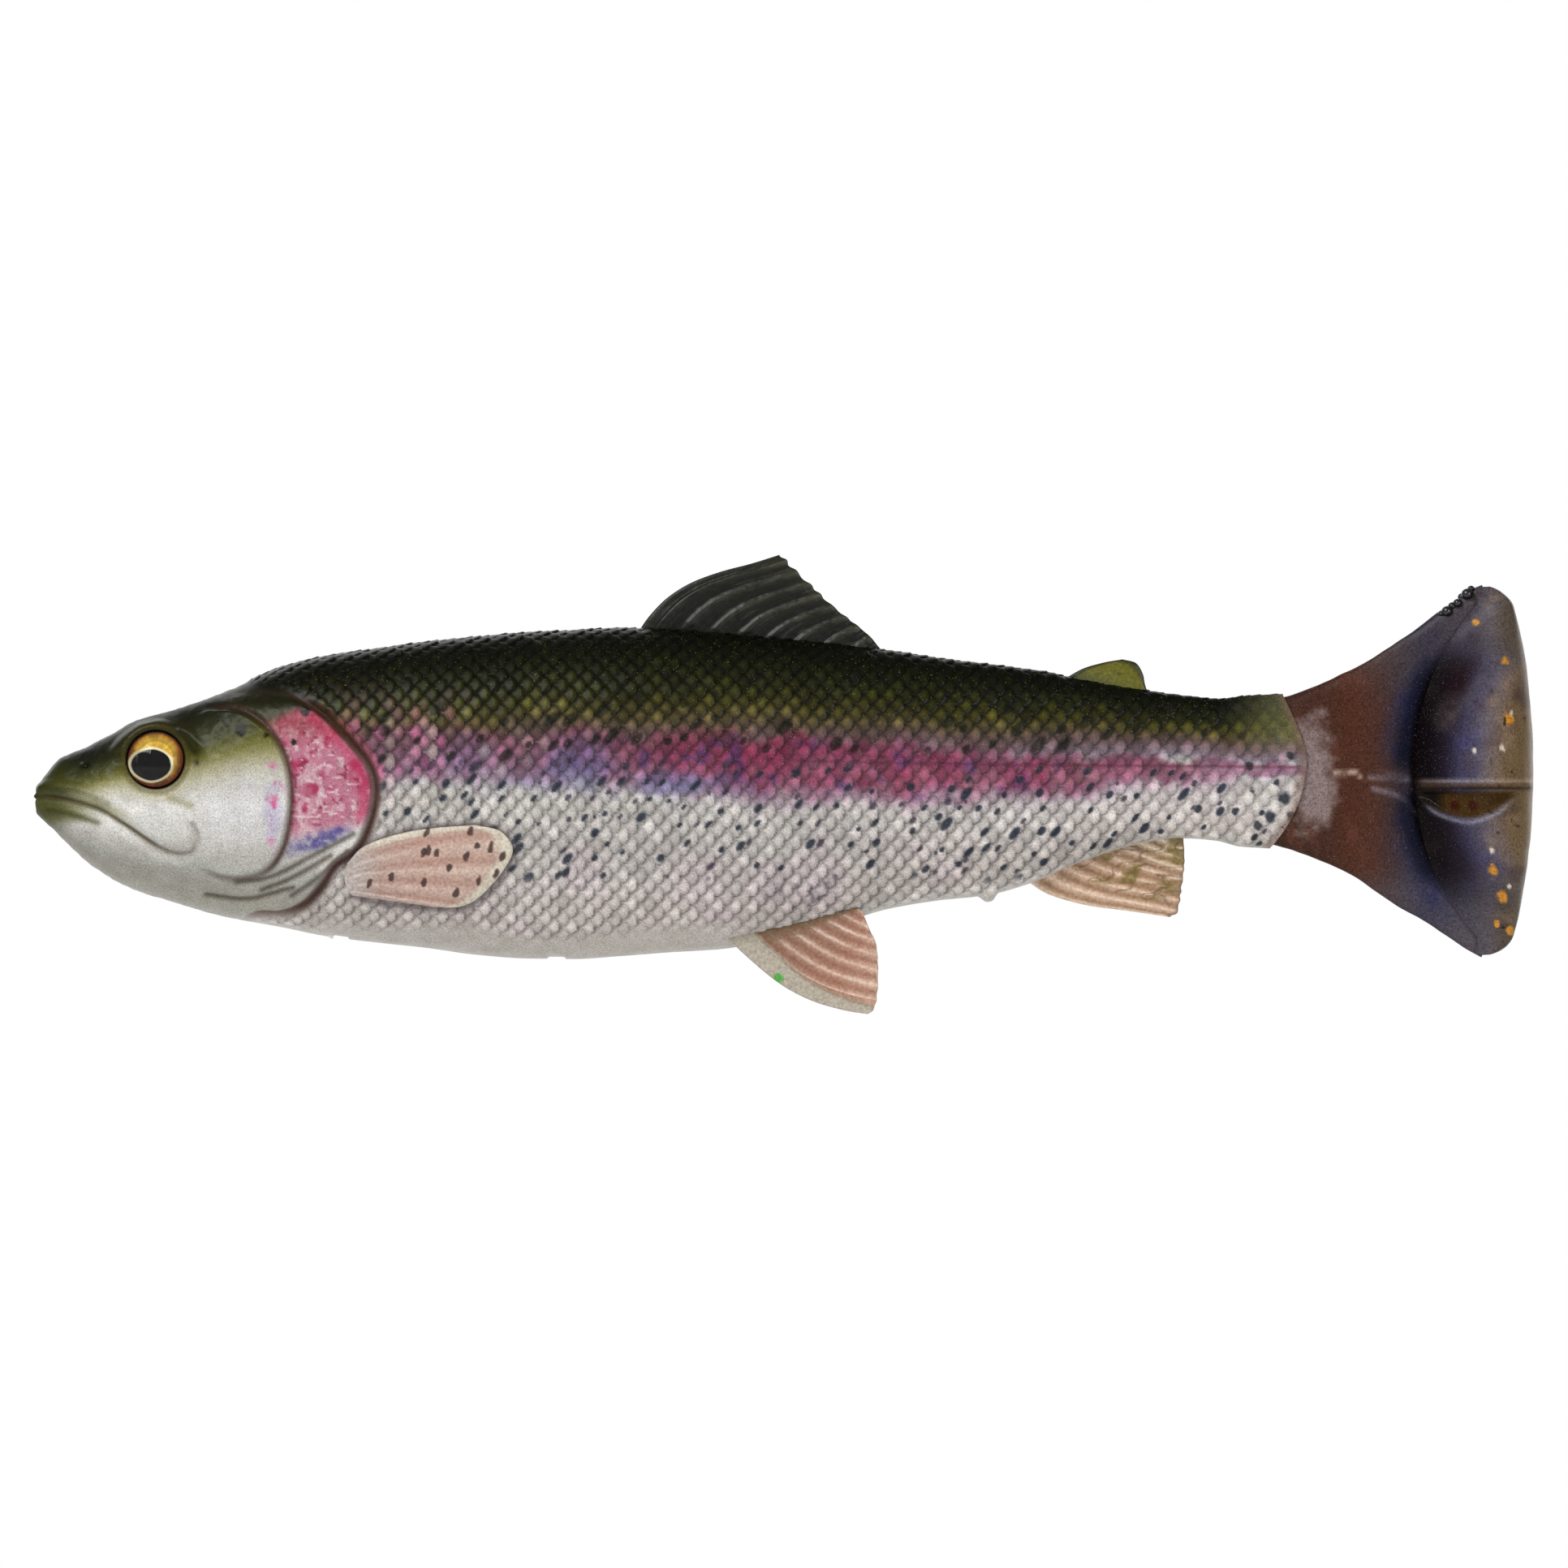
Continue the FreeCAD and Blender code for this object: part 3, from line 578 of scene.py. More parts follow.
def paint_body(x, z, q, s, t, r, gill, cheek, mouth, throat, brow, nostril,
               scaled, e, behind, facing, across, column, row, belly):
    """Display colours of the skin."""
    wob = 0.05 * cloud(s, t, 7.0, 21)
    colour = ladder(q + wob, BACK)
    headish = smooth(1.2, -0.8, gill)
    face = ladder(q + 0.6 * wob + 0.13 * smooth(15, 2, x), HEAD)
    ink = Ink(colour * (1 - headish[..., None]) + face * headish[..., None])

    # the lateral band: grey violet behind the gills, crimson from the middle on, thin at the tail
    centre = np.interp(x, [40, 70, 100, 130, 165], [6.6, 5.6, 4.3, 3.2, 4.2])
    wide = np.interp(x, [40, 70, 90, 125, 150, 168], [3.0, 3.0, 3.7, 3.0, 1.5, 0.7])
    rough = 1.1 * cloud(s, t, 4.0, 31) + 0.5 * noise(s, t, 1.3, 33)
    band = smooth(1.5, 0.5, np.abs(z - centre + rough) / wide) * scaled
    red = np.interp(x, [40, 60, 74, 90, 135, 168], [0.2, 0.3, 0.55, 0.9, 0.85, 0.4])
    patch = 0.5 + 0.5 * cloud(s, t, 3.0, 41)
    ink(band * red * (0.58 + 0.45 * patch), 114, 28, 57)
    ink(band * (1 - red) * (0.2 + 0.45 * patch), 100, 76, 100)
    flick = smooth(0.55, 0.85, scatter(column, row, 17)) * scaled * smooth(66, 52, x)
    ink(flick * bell(z - 7.0, 5.0) * 0.6, 150, 80, 116)
    flick = smooth(0.6, 0.9, scatter(column, row, 19)) * scaled * smooth(84, 52, x)
    ink(flick * bell(z - 6.0, 4.5) * 0.45, 164, 164, 146)
    fringe = bell(z - centre + wide * 1.05 + rough, 1.5) * scaled
    ink(fringe * np.interp(x, [52, 72, 96, 150], [0.0, 0.6, 0.3, 0.2])
        * (0.5 + 0.5 * cloud(s, t, 4.0, 47)), 112, 112, 160)
    ink(fringe * np.interp(x, [84, 100, 140], [0.0, 0.6, 0.25])
        * (0.5 + 0.5 * cloud(s, t, 5.0, 49)), 150, 84, 122)
    for cx, cz, rx, rz, k in ((70.5, 5.0, 5.0, 3.0, 0.45), (56.0, 6.0, 4.0, 2.2, 0.2),
                              (86.0, 2.2, 7.0, 1.6, 0.45)):
        away = np.hypot((x - cx) / rx, (z - cz) / rz)
        blob = smooth(1.4, 0.3, away + 0.7 * cloud(s, t, 2.2, 51))
        ink(blob * k * scaled, 84, 88, 132)
    blotch = (smooth(0.25, 0.6, cloud(s, t, 2.4, 55)) * band * smooth(60, 78, x)
              * smooth(150, 120, x))
    ink(blotch * 0.55, 66, 46, 92)
    pale = smooth(-3, -8, z) * smooth(0.0, 0.8, cloud(s, t, 8, 61)) * scaled
    ink(0.3 * pale, 196, 170, 186)

    # gill plate, head details
    plate = smooth(0.3, -0.6, gill) * smooth(-0.1, 0.8, cheek) * smooth(23, 27, x)
    pink = plate * smooth(-5.6, -3.0, z + 0.22 * (36 - x)) * smooth(12.0, 9.6, z + 0.5 * (31 - x))
    ink(pink, 178, 115, 134)
    ink(pink * smooth(-0.1, 0.6, cloud(x * 0.8, z, 1.5, 101)) * 0.8, 158, 42, 78)
    ink(pink * smooth(0.05, 0.5, cloud(x, z * 0.7, 0.9, 103)) * 0.6, 206, 188, 190)
    flakes = smooth(0.5, 0.75, noise(x * 0.55, z * 1.3, 0.42, 113)) * smooth(46, 41, x + 0.45 * z)
    ink(pink * flakes * 0.75, 216, 196, 200)
    ink(pink * smooth(0.62, 0.8, noise(x, z, 0.55, 117)) * 0.6, 120, 26, 54)
    ink(pink * smooth(6.5, 10.0, z) * 0.55, 128, 44, 50)
    ink(pink * bell(gill + 1.0, 0.8) * 0.4, 186, 44, 84)
    ink(plate * (1 - pink) * smooth(5.0, 8.0, z), 52, 52, 26)
    ink(plate * smooth(11.0, 13.0, z), 27, 27, 12)
    smudge = smooth(1.5, 0.3, np.hypot((x - 36.8) / 4.8, (z + 5.2 - 0.30 * (x - 36.8)) / 1.2)
                    + 0.5 * cloud(x, z, 1.2, 105))
    smudge = smudge * plate * (0.35 + 0.65 * smooth(-0.3, 0.4, cloud(x, z, 0.8, 111)))
    ink(smudge * 0.85, 74, 66, 130)
    cool = smooth(1.3, 0.2, np.hypot((x - 26.0) / 6.0, (z - 0.5) / 6.5)) * headish
    ink(cool * 0.22 * (0.6 + 0.4 * cloud(x, z, 1.6, 119)), 176, 172, 204)
    low = smooth(1.2, 0.2, np.hypot((x - 30.6) / 1.7, (z + 1.8) / 6.0)
                 + 0.6 * cloud(x, z, 1.5, 107))
    low = low * smooth(0.2, -0.4, cheek)
    ink(low * 0.3, 150, 128, 190)
    ink(low * smooth(0.1, 0.6, cloud(x, z, 1.1, 109)) * 0.9, 196, 84, 130)
    # dark line in the groove at the cheek's edge: partly dark paint, partly painted shade in the
    # groove
    ink(bell(cheek - 0.3, 0.4) * smooth(0.5, -0.5, gill) * smooth(-12, -8, z) * smooth(20, 25, x)
        * 0.8, 62, 40, 34)
    # dark line in the groove behind the gill plate: partly the gill's dark red paint, partly
    # painted shade in the groove
    groove = bell(gill - 0.45, 0.6) * smooth(-16.5, -14, z)
    ink(groove * 0.85 * smooth(15.5, 12.5, z), 56, 30, 24)
    ink(bell(gill - 1.3, 0.45) * smooth(1, 4, z) * smooth(12, 9, z) * 0.5, 176, 84, 108)
    # pale line along the gill plate's raised rim: partly pale paint, partly painted highlight
    ink(bell(gill + 0.7, 0.5) * smooth(-3, -5, z) * smooth(-11, -9, z) * 0.5, 226, 222, 216)
    # dark lines in the throat grooves: partly dark paint, partly painted shade in the grooves
    ink(bell(throat, 0.34) * smooth(0.4, -0.6, gill) * 0.7, 84, 76, 66)
    snout = smooth(9.0, 1.0, x + np.where(z < 0, 1.1, 0.5) * np.abs(z - 0.4))
    ink(snout * 0.85, 54, 56, 18)
    ink(smooth(9, 4, x) * smooth(-3.6, -2.0, z) * smooth(0.0, -1.0, z) * 0.6, 74, 74, 26)
    for lip, line in ((0.5, [(-0.5, 1.5), (4.0, 1.1), (8.5, -0.7)]),
                      (0.45, [(0.5, -1.4), (3.5, -1.9), (7.0, -3.0)])):
        ink(bell(line_distance(x, z, np.array(line)), lip) * 0.5, 40, 42, 12)
    streak = bell(z + 0.45 * (x - 6.0), 0.7) * smooth(3, 6, x) * smooth(13, 9, x)
    ink(streak * 0.55, 110, 104, 50)
    # dark line along the mouth's slit: partly dark paint, partly painted shade in the slit
    ink(bell(mouth, 0.3) * smooth(19.0, 13.0, x) * 0.75, 62, 52, 30)
    ink(bell(mouth, 0.5) * smooth(11, 17, x) * smooth(50, 46, x) * 0.35, 118, 112, 102)
    # pale line along the upper jaw's edge: partly pale paint, partly painted highlight
    ink(bell(mouth - 1.0, 0.55) * smooth(2, 6, x) * smooth(21, 17, x) * 0.35, 226, 224, 218)
    ink(bell(line_distance(x, z, np.array([(16.5, 0.3), (19.5, -0.8)])), 0.5) * 0.5, 128, 122, 78)
    ink(bell(brow - 0.4, 0.8) * 0.7, 36, 36, 12)
    ink(bell(r - 4.3, 0.5) * 0.55, 70, 62, 24)
    ink(bell(r - 4.9, 0.7) * smooth(4, 0, z) * 0.35, 178, 172, 128)
    ink(smooth(4.1, 3.8, r), 30, 18, 10)
    ink(bell(nostril, 0.55) * 0.8, 14, 14, 8)

    # scales: painted highlights in the light middles, painted shadows in dark crescents behind the
    # lower free edges
    dark = smooth(0.25, 0.6, q)
    # painted shadow under each scale's free edge, stronger where that edge faces down, away from
    # the light above
    lower = 0.35 + 0.65 * smooth(0.55, -0.25, facing)
    scale_shadow = bell(behind - 0.1, 0.36) * lower * scaled
    fade = np.interp(x, [40, 135, 165], [1.0, 1.0, 0.55])
    ink.scale(1 - (0.38 + 0.32 * dark) * scale_shadow * fade)
    # painted highlight in each scale's middle, a little above its centre
    middle = bell(e - 0.8, 0.6) * bell(across - 0.12, 0.62) * scaled
    shine = (0.06 + 0.14 * scatter(column, row, 27)
             + dark * smooth(0.95, 0.7, q) * (0.2 + 0.75 * scatter(column, row, 9)))
    shine = shine + (np.interp(x, [60, 90], [0.36, 0.12]) * bell(z - 6.0, 5.0)
                     * scatter(column, row, 23))
    ink.scale(1 + middle * shine)
    spread = 0.14 + 0.22 * dark + 0.2 * bell(z - 6.0, 5.0)
    tone = 1 + (scatter(column, row, 5) - 0.5) * spread * scaled
    ink.scale(tone)

    ink.scale(1 - 0.05 * bell(z + 7.0, 4.0) * scaled)

    # spots: small blue-black marks on the flank, softer ones on the back
    zone = (smooth(-12.0, -9.5, z + 1.5 * cloud(s, t, 9, 77)) * smooth(6.5, 3.5, z)
            * smooth(43, 46, x))
    mark = dots(s, t, 2.5, 0.48, 0.34, 0.66, 71) * zone * scaled
    ink(mark * 0.88, 36, 42, 54)
    mark = dots(s + 50, t, 3.4, 0.30, 0.25, 0.5, 91) * zone * scaled
    ink(mark * 0.8, 58, 50, 66)
    mark = dots(s, t + 40, 3.1, 0.5, 0.5, 0.95, 81) * smooth(0.16, 0.26, q) * smooth(0.92, 0.8, q)
    ink(mark * smooth(40, 46, x) * scaled * 0.62, 14, 16, 12)
    for cx, cz, cr in ((26.3, 9.0, 0.75), (34.8, 11.6, 0.8), (29.6, 8.3, 0.4), (33.2, 7.6, 0.35)):
        ink(smooth(cr * 1.2, cr * 0.7, np.hypot(x - cx, z - cz) + 0.2 * cloud(x, z, 0.6, 93))
            * 0.9, 26, 24, 20)

    for cx, cz, cr in EDGE_SPOTS:
        ink(smooth(cr * 1.2, cr * 0.6, np.hypot(x - cx, (z - cz) * 0.9) + 0.25
            * cloud(x, z, 0.6, 97)) * 0.85, 38, 42, 52)
    ink(smooth(156, 165, x) * smooth(5, 9, z) * 0.55, 122, 120, 84)
    patch = smooth(1.2, 0.3, np.hypot((x - 101.0) / 6.5, (z + 12.6 - 0.16 * (x - 101)) / 2.6))
    ink(patch * smooth(0.0, 0.5, cloud(x, z, 1.0, 121)) * 0.6, 62, 58, 68)
    # painted shadow: a dark outline on the skin round the pectoral fin
    pectoral_shadow = bell(line_distance(x, z, PECTORAL), 0.55) * smooth(66, 64, x)
    ink(pectoral_shadow * 0.6, 84, 74, 76)

    # belly and lateral line
    ink(belly * 0.8, 186, 180, 172)
    line = bell(t, 0.22) * smooth(92, 104, x) * scaled
    ink(line * 0.55, 84, 40, 58)
    edge = smooth(1.6, 0.0, curve(z, PAINT_EDGE) - x + 0.5 * cloud(z, x, 1.4, 91))
    ink(edge * 0.6, 120, 92, 84)
    return ink.colour


build_body()


# ---------------------------------------------------------------- tail
TAIL_RINGS = [
    (158.0, 12.6, -4.8, 2.4), (164.4, 13.5, -6.2, 2.3), (169.0, 15.0, -7.8, 2.2),
    (174.1, 17.4, -10.1, 2.0), (180.6, 21.2, -14.4, 1.75), (187.1, 25.7, -18.0, 1.5),
    (190.3, 27.75, -19.95, 1.3), (191.7, 28.25, -20.6, 1.0)]
PADDLE_X, PADDLE_Z = 189.4, 3.8
PADDLE_DEEP, PADDLE_WIDE, PADDLE_TALL = 9.0, 10.0, 31.2
RIM_X, RIM_Z, RIM_R = 214.8, 3.8, 32.6
FLECKS = [
    (190.7, 23.7, 0.7), (194.4, 18.3, 0.8), (194.9, 10.8, 0.8), (195.4, 11.6, 0.4),
    (192.8, -9.3, 0.8), (194.3, -12.9, 0.9), (195.0, -11.5, 0.4), (193.5, -16.6, 0.5),
    (195.4, -17.6, 0.8), (194.0, 6.9, 0.4), (190.3, 6.6, 0.3), (192.6, -6.9, 0.4)]
DROPS = [
    (186.1, -0.6, 24.8, 0.45), (186.9, -0.9, 25.1, 0.8), (187.6, -0.4, 25.8, 0.6),
    (188.3, -0.9, 26.2, 0.65), (188.9, 0.3, 27.0, 0.6), (189.6, -0.7, 27.4, 0.85),
    (190.1, -0.2, 28.1, 0.5), (187.4, 0.8, 25.4, 0.55), (189.2, 0.9, 26.9, 0.5)]


def tail_material(name, spec):
    """Clear-brown vinyl with a little depth and a wet surface."""
    m = Nodes(name)
    paint = m.attribute("paint")
    grain = m.noise(3400.0, 2.0, 0.7)
    light = m.ramp(grain, [(0.32, (140, 134, 140)), (0.5, (214, 212, 216)),
                           (0.7, (255, 255, 255))])
    colour = m.shade(0.75, paint, light)
    glitter = m.ramp(m.noise(5200.0, 1.0, 0.5), [(0.66, (0, 0, 0)), (0.74, (70, 66, 76))])
    colour = m.mix(0.8, colour, glitter, "ADD")
    uneven = m.uneven(m.noise(600.0), 0.2, 0.24)
    normal = m.bump(m.noise(700.0, 3.0), 0.25, 0.0002)
    normal = m.bump(grain, 0.2, 0.00005, normal)
    return m.finish(base=colour, rough=uneven, normal=normal, coat=0.0, coat_rough=0.12,
                    ior=1.45, spec=spec)


def build_web():
    """The flexible web between the painted body and the paddle."""
    rings = np.array(TAIL_RINGS)
    x = np.linspace(rings[0, 0], rings[-1, 0], int(36 / STEP))
    top, bottom, half = [curve(x, rings[:, (0, k)]) for k in (1, 2, 3)]
    theta = np.linspace(-math.pi, math.pi, 360, endpoint=False)[None, :]
    zc, hh = ((top + bottom) / 2)[:, None], ((top - bottom) / 2)[:, None]
    power = 2 / 2.6
    q = np.sign(np.sin(theta)) * np.abs(np.sin(theta)) ** power + 0 * zc
    z = zc + hh * q
    y = half[:, None] * -np.sign(np.cos(theta)) * np.abs(np.cos(theta)) ** power
    x = np.repeat(x[:, None], theta.shape[1], 1)
    grid = np.stack([x, y, z], -1)
    n = normals(grid)
    n = np.where((n[..., 1] * y + n[..., 2] * (z - zc) < 0)[..., None], -n, n)
    rim = RIM_X - np.sqrt(np.maximum(RIM_R ** 2 - (z - RIM_Z) ** 2, 1))
    swell = smooth(-7.0, 0.0, x - rim)
    height = 0.06 * np.sin(0.9 * z + 1.5 * cloud(x, z, 6, 5)) * smooth(170, 180, x)
    height += 0.10 * cloud(x, z, 3.0, 7) + 0.5 * swell
    scar = line_distance(x, z, rounded([(172.0, 3.5), (173.4, 3.4), (174.3, 3.7), (175.3, 3.1)]))
    height += 0.22 * bell(scar, 0.3)
    wings = np.minimum(line_distance(x, z, rounded([(176.6, 2.9), (180.0, 3.0), (183.5, 2.4)])),
                       line_distance(x, z, rounded([(177.0, 1.4), (180.4, 0.4), (184.5, -2.4)])))
    height += 0.4 * bell(wings, 0.45)
    grid = grid + n * height[..., None]
    ink = Ink(ladder(x, [(165, (58, 38, 28)), (171, (66, 40, 30)), (174, (74, 42, 28)),
                        (177, (72, 44, 34)), (179.5, (62, 46, 46)), (181.5, (54, 48, 58)),
                        (184, (40, 40, 62)), (188, (66, 62, 72)), (192, (92, 86, 88))]))
    ink(smooth(0.1, 0.8, cloud(x, z * 0.5, 2.6, 9)) * smooth(180, 174, x) * 0.5, 104, 62, 50)
    upper = smooth(11, 19, z) * smooth(172, 178, x)
    ink(upper * 0.5, 66, 58, 58)
    lower = smooth(-8, -13, z) * smooth(170, 176, x)
    ink(lower * 0.5, 84, 78, 82)
    haze = ((np.abs(x - 168.9) / 2.9) ** 3 + (np.abs(z - 3.6) / 7.4) ** 3) ** (1 / 3)
    haze = smooth(1.25, 0.6, haze + 0.3 * cloud(x, z, 2.4, 11) + 0.22 * cloud(x, z, 0.9, 43))
    ink(haze * 0.85, 138, 124, 122)
    blue = bell(x - rim + 1.6 - 0.4 * cloud(x, z, 3, 13), 2.0) * smooth(2.5, 5, np.abs(z - 2.0))
    blue = (blue * (0.3 + 0.7 * smooth(-0.4, 0.5, cloud(x, z, 2.2, 45)))
            * smooth(19, 13, np.abs(z - 1)))
    ink(blue * 0.7, 34, 38, 74)
    ink(bell(scar, 0.3) * 0.75, 196, 176, 160)
    # pale lines on the web's fold ridges: partly pale plastic, partly painted highlight
    ink(bell(wings - 0.1, 0.3) * 0.45, 150, 146, 160)
    # painted shade: dark blue-black along the crease where the web runs into the paddle
    crease_shade = (smooth(-3.6, -0.4, x - rim + 0.5 * cloud(x, z, 2.0, 53))
            * smooth(17.0, 12.0, np.abs(z - RIM_Z)))
    ink(crease_shade * 0.8 * smooth(1.0, 3.0, np.abs(z - 2.2)), 13, 15, 32)
    # painted shade: near-black at the rim where the web enters the paddle's hollow
    ink(smooth(-0.9, 0.3, x - rim) * smooth(15.5, 11.0, np.abs(z - RIM_Z)), 6, 3, 4)
    flat, faces, colour = with_caps(grid, grid_faces(len(x), theta.shape[1], True), ink.colour)
    web = make_mesh("tail_web_skin", flat, faces, colour=colour)
    web.data.materials.append(tail_material("tail_brown", 0.06))
    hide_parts("tail_web")
    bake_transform(web)


def build_paddle():
    """The hollow oval paddle: a bulb open to the front around the web, with a rib and a pocket."""
    rows, columns = int(56 / STEP), int(44 / STEP)
    turn = np.linspace(-1, 1, rows)
    z = (PADDLE_Z + 24.55 * np.sin(turn * math.pi / 2))[:, None]
    away = np.abs(z - PADDLE_Z)
    c = np.sqrt(1 - (away / PADDLE_TALL) ** 2)
    tip = np.sqrt(np.clip(1 - (np.clip(away - 21.9, 0, None) / 2.75) ** 2, 0.03, 1))
    rim = np.minimum(RIM_X - np.sqrt(RIM_R ** 2 - (z - RIM_Z) ** 2), 190.0 + 0.2 * away ** 0.5)
    middle = 191.8      # behind this X the bulb draws in to a rounded tip
    limit = np.arccos(np.clip((rim - PADDLE_X) / (PADDLE_DEEP * c), -1, 0.97))
    v = np.linspace(-1, 1, columns)[None, :]
    phi = v * limit
    x = PADDLE_X + PADDLE_DEEP * c * np.cos(phi)
    x = np.where(x > middle, middle + (x - middle) * tip, x)
    bulk = 1 - smooth(4, 20, away) * (1 - smooth(-0.5, 11.0, x - rim))
    y = PADDLE_WIDE * c * np.sin(phi) * (0.3 + 0.7 * tip)
    web = np.sign(phi) * np.minimum(np.abs(y), 1.75)
    y = web + (y - web) * bulk
    z = z + 0 * phi
    outer = np.stack([x, y, z], -1)
    n = normals(outer, closed=False)
    side = n[..., 0] * (x - PADDLE_X) / PADDLE_DEEP ** 2 + n[..., 1] * y / PADDLE_WIDE ** 2
    n = np.where((side < 0)[..., None], -n, n)
    sideways = smooth(0.25, 0.5, np.abs(n[..., 1]))
    reach = smooth(182.0, 184.0, x)
    rib = bell(z - 2.05, 0.34) * reach * smooth(198.3, 197.0, x)
    low = curve(x, [(181, 1.4), (183.5, -0.4), (186.5, -2.1), (189.6, -2.8), (193.2, -1.7),
                    (195.6, 0.2), (197, 1.4)])
    pocket = smooth(0, 0.35, 1.1 - z) * smooth(0, 0.45, z - low) * reach * smooth(197, 195.5, x)
    lip = bell(z - low + 0.25, 0.35) * smooth(183, 185, x) * smooth(196, 194, x)
    waves = 0.10 * cloud(x, z, 4, 17)
    height = 0.42 * rib - 0.85 * pocket + 0.22 * lip + waves
    outer = outer + n * height[..., None]
    thick = 1.25 * np.sqrt(np.clip(1 - np.abs(v) ** 10, 0, 1)) * (0.3 + 0.7 * tip)
    inner = outer - n * (thick + 0.04)[..., None]

    # near-black at the crease is painted shade where the bulb faces forward; further back the
    # ladder is the plastic's own amber tint
    base = ladder(x - rim, [(0, (8, 3, 4)), (2.2, (14, 8, 12)), (4.2, (30, 24, 36)),
                            (6.2, (58, 54, 74)), (8.4, (88, 82, 92)), (10.2, (112, 98, 92)),
                            (12.2, (116, 96, 70)), (14.4, (112, 92, 62)), (16.2, (134, 120, 102))])
    end = ladder(x, [(184, (40, 39, 56)), (188, (62, 58, 68)), (190.5, (74, 70, 77)),
                     (192.5, (84, 78, 82)), (194.5, (82, 72, 62)), (197, (100, 88, 70))])
    blend = smooth(11.5, 19.0, away)[..., None]
    ink = Ink(base * (1 - blend) + end * blend)
    ink(0.5 * smooth(0.1, 0.8, cloud(x, z, 3.4, 23)), 54, 40, 44)
    ink(0.5 * smooth(0.0, 0.7, cloud(z, x, 4.2, 27)) * bell(x - rim - 6.0, 3.0), 64, 66, 116)
    ink(0.55 * smooth(0.1, 0.7, cloud(x, z, 2.6, 33)) * smooth(190, 194, x), 142, 118, 96)
    ink(0.6 * bell(x - 185.5 - 0.02 * away ** 2, 1.6) * smooth(9, 12, z) * smooth(20, 15, z), 30,
        8, 8)
    ink(pocket * 0.95, 62, 42, 11)
    # painted shade in the front end of the pocket
    ink(pocket * smooth(186.6, 184.2, x) * 0.9, 10, 7, 6)
    for sx in (187.5, 190.2):
        ink(smooth(1.0, 0.4, np.hypot(x - sx, z + 0.9)) * 0.85, 50, 15, 4)
    # pale line on the pocket's raised lip: partly pale plastic, partly painted highlight
    ink(lip * 0.6, 150, 150, 164)
    # painted shade on the underside of the rib
    ink(bell(z - 1.55, 0.3) * reach * 0.85, 30, 20, 12)
    ink(bell(z - 2.0, 0.3) * reach * 0.55, 110, 84, 58)
    # pale line on the rib's top: partly a pale mould seam, partly painted highlight
    ink(bell(z - 2.55, 0.16) * reach * 0.6, 214, 204, 190)
    for fx, fz, fr in FLECKS:
        spot = np.hypot(x - fx, z - fz) + 0.5 * cloud(x, z, 0.9, 29)
        shade = (224, 214, 196) if fr < 0.45 else (206, 140, 48)
        ink(smooth(fr, fr * 0.45, spot) * 0.9 * sideways, *shade)
    specks = smooth(0.75, 0.9, noise(x, z, 0.9, 39)) * smooth(191, 193, x) * 0.8 * sideways
    ink(specks, 26, 20, 16)

    points = np.vstack([outer.reshape(-1, 3), inner.reshape(-1, 3)])
    size = rows * columns
    front = grid_faces(rows, columns, False)[:, ::-1]
    back = grid_faces(rows, columns, False) + size
    strips = []
    for i in range(rows - 1):
        a, b = i * columns, (i + 1) * columns
        strips.append((a, b, b + size, a + size))
        a, b = a + columns - 1, b + columns - 1
        strips.append((b, a, a + size, b + size))
    for j in range(columns - 1):
        strips.append((j + 1, j, j + size, j + 1 + size))
        k = (rows - 1) * columns + j
        strips.append((k, k + 1, k + 1 + size, k + size))
    faces = np.vstack([front, back, np.array(strips)])
    # painted shade: the paddle's inner skin is painted near-black, so its hollow reads dark
    inside = tint(ink.colour, np.full(x.shape, 0.8), (8, 4, 5))
    colours = np.vstack([ink.colour.reshape(-1, 3), inside.reshape(-1, 3)])
    paddle = make_mesh("paddle_skin", points, faces, "tail", colours)
    paddle.data.materials.append(tail_material("paddle_amber", 0.045))
    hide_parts("tail_paddle")


def build_drops():
    """Small black lumps of spilled paint on the upper edge of the tail."""
    turns = np.linspace(0, 2 * math.pi, 16, endpoint=False)
    rise = np.linspace(0.03, math.pi - 0.03, 10)
    points, faces = [], []
    for x0, y0, z0, size in DROPS:
        ball = np.stack([x0 + size * np.sin(rise)[:, None] * np.cos(turns),
                         y0 + (0.75 * size + 0.3) * np.sin(rise)[:, None] * np.sin(turns),
                         z0 + 0.9 * size * np.cos(rise)[:, None] + 0 * turns], -1)
        flat, quads, _ = with_caps(ball, grid_faces(10, 16, True))
        faces.append(quads + sum(len(p) for p in points))
        points.append(flat)
    drops = make_mesh("tail_paint_lumps", np.vstack(points), np.vstack(faces), "tail")
    bmesh_normals(drops)
    drops.data.materials.append(plain("lump_black", (16, 14, 16), 0.3, coat=0.1))


# ---------------------------------------------------------------- fins
def fin_material(name, rough, coat):
    m = Nodes(name)
    paint = m.attribute("paint")
    grain = m.noise(2600.0, 3.0, 0.6)
    shade = m.ramp(grain, [(0.3, (176, 172, 166)), (0.65, (255, 255, 255))])
    colour = m.shade(0.7, paint, shade)
    normal = m.bump(grain, 0.35, 0.0001)
    uneven = m.uneven(m.noise(700.0), 0.2, rough - 0.1)
    return m.finish(base=colour, rough=uneven, normal=normal, coat=coat * 0.4, coat_rough=0.15,
                    ior=1.45, spec=0.2)


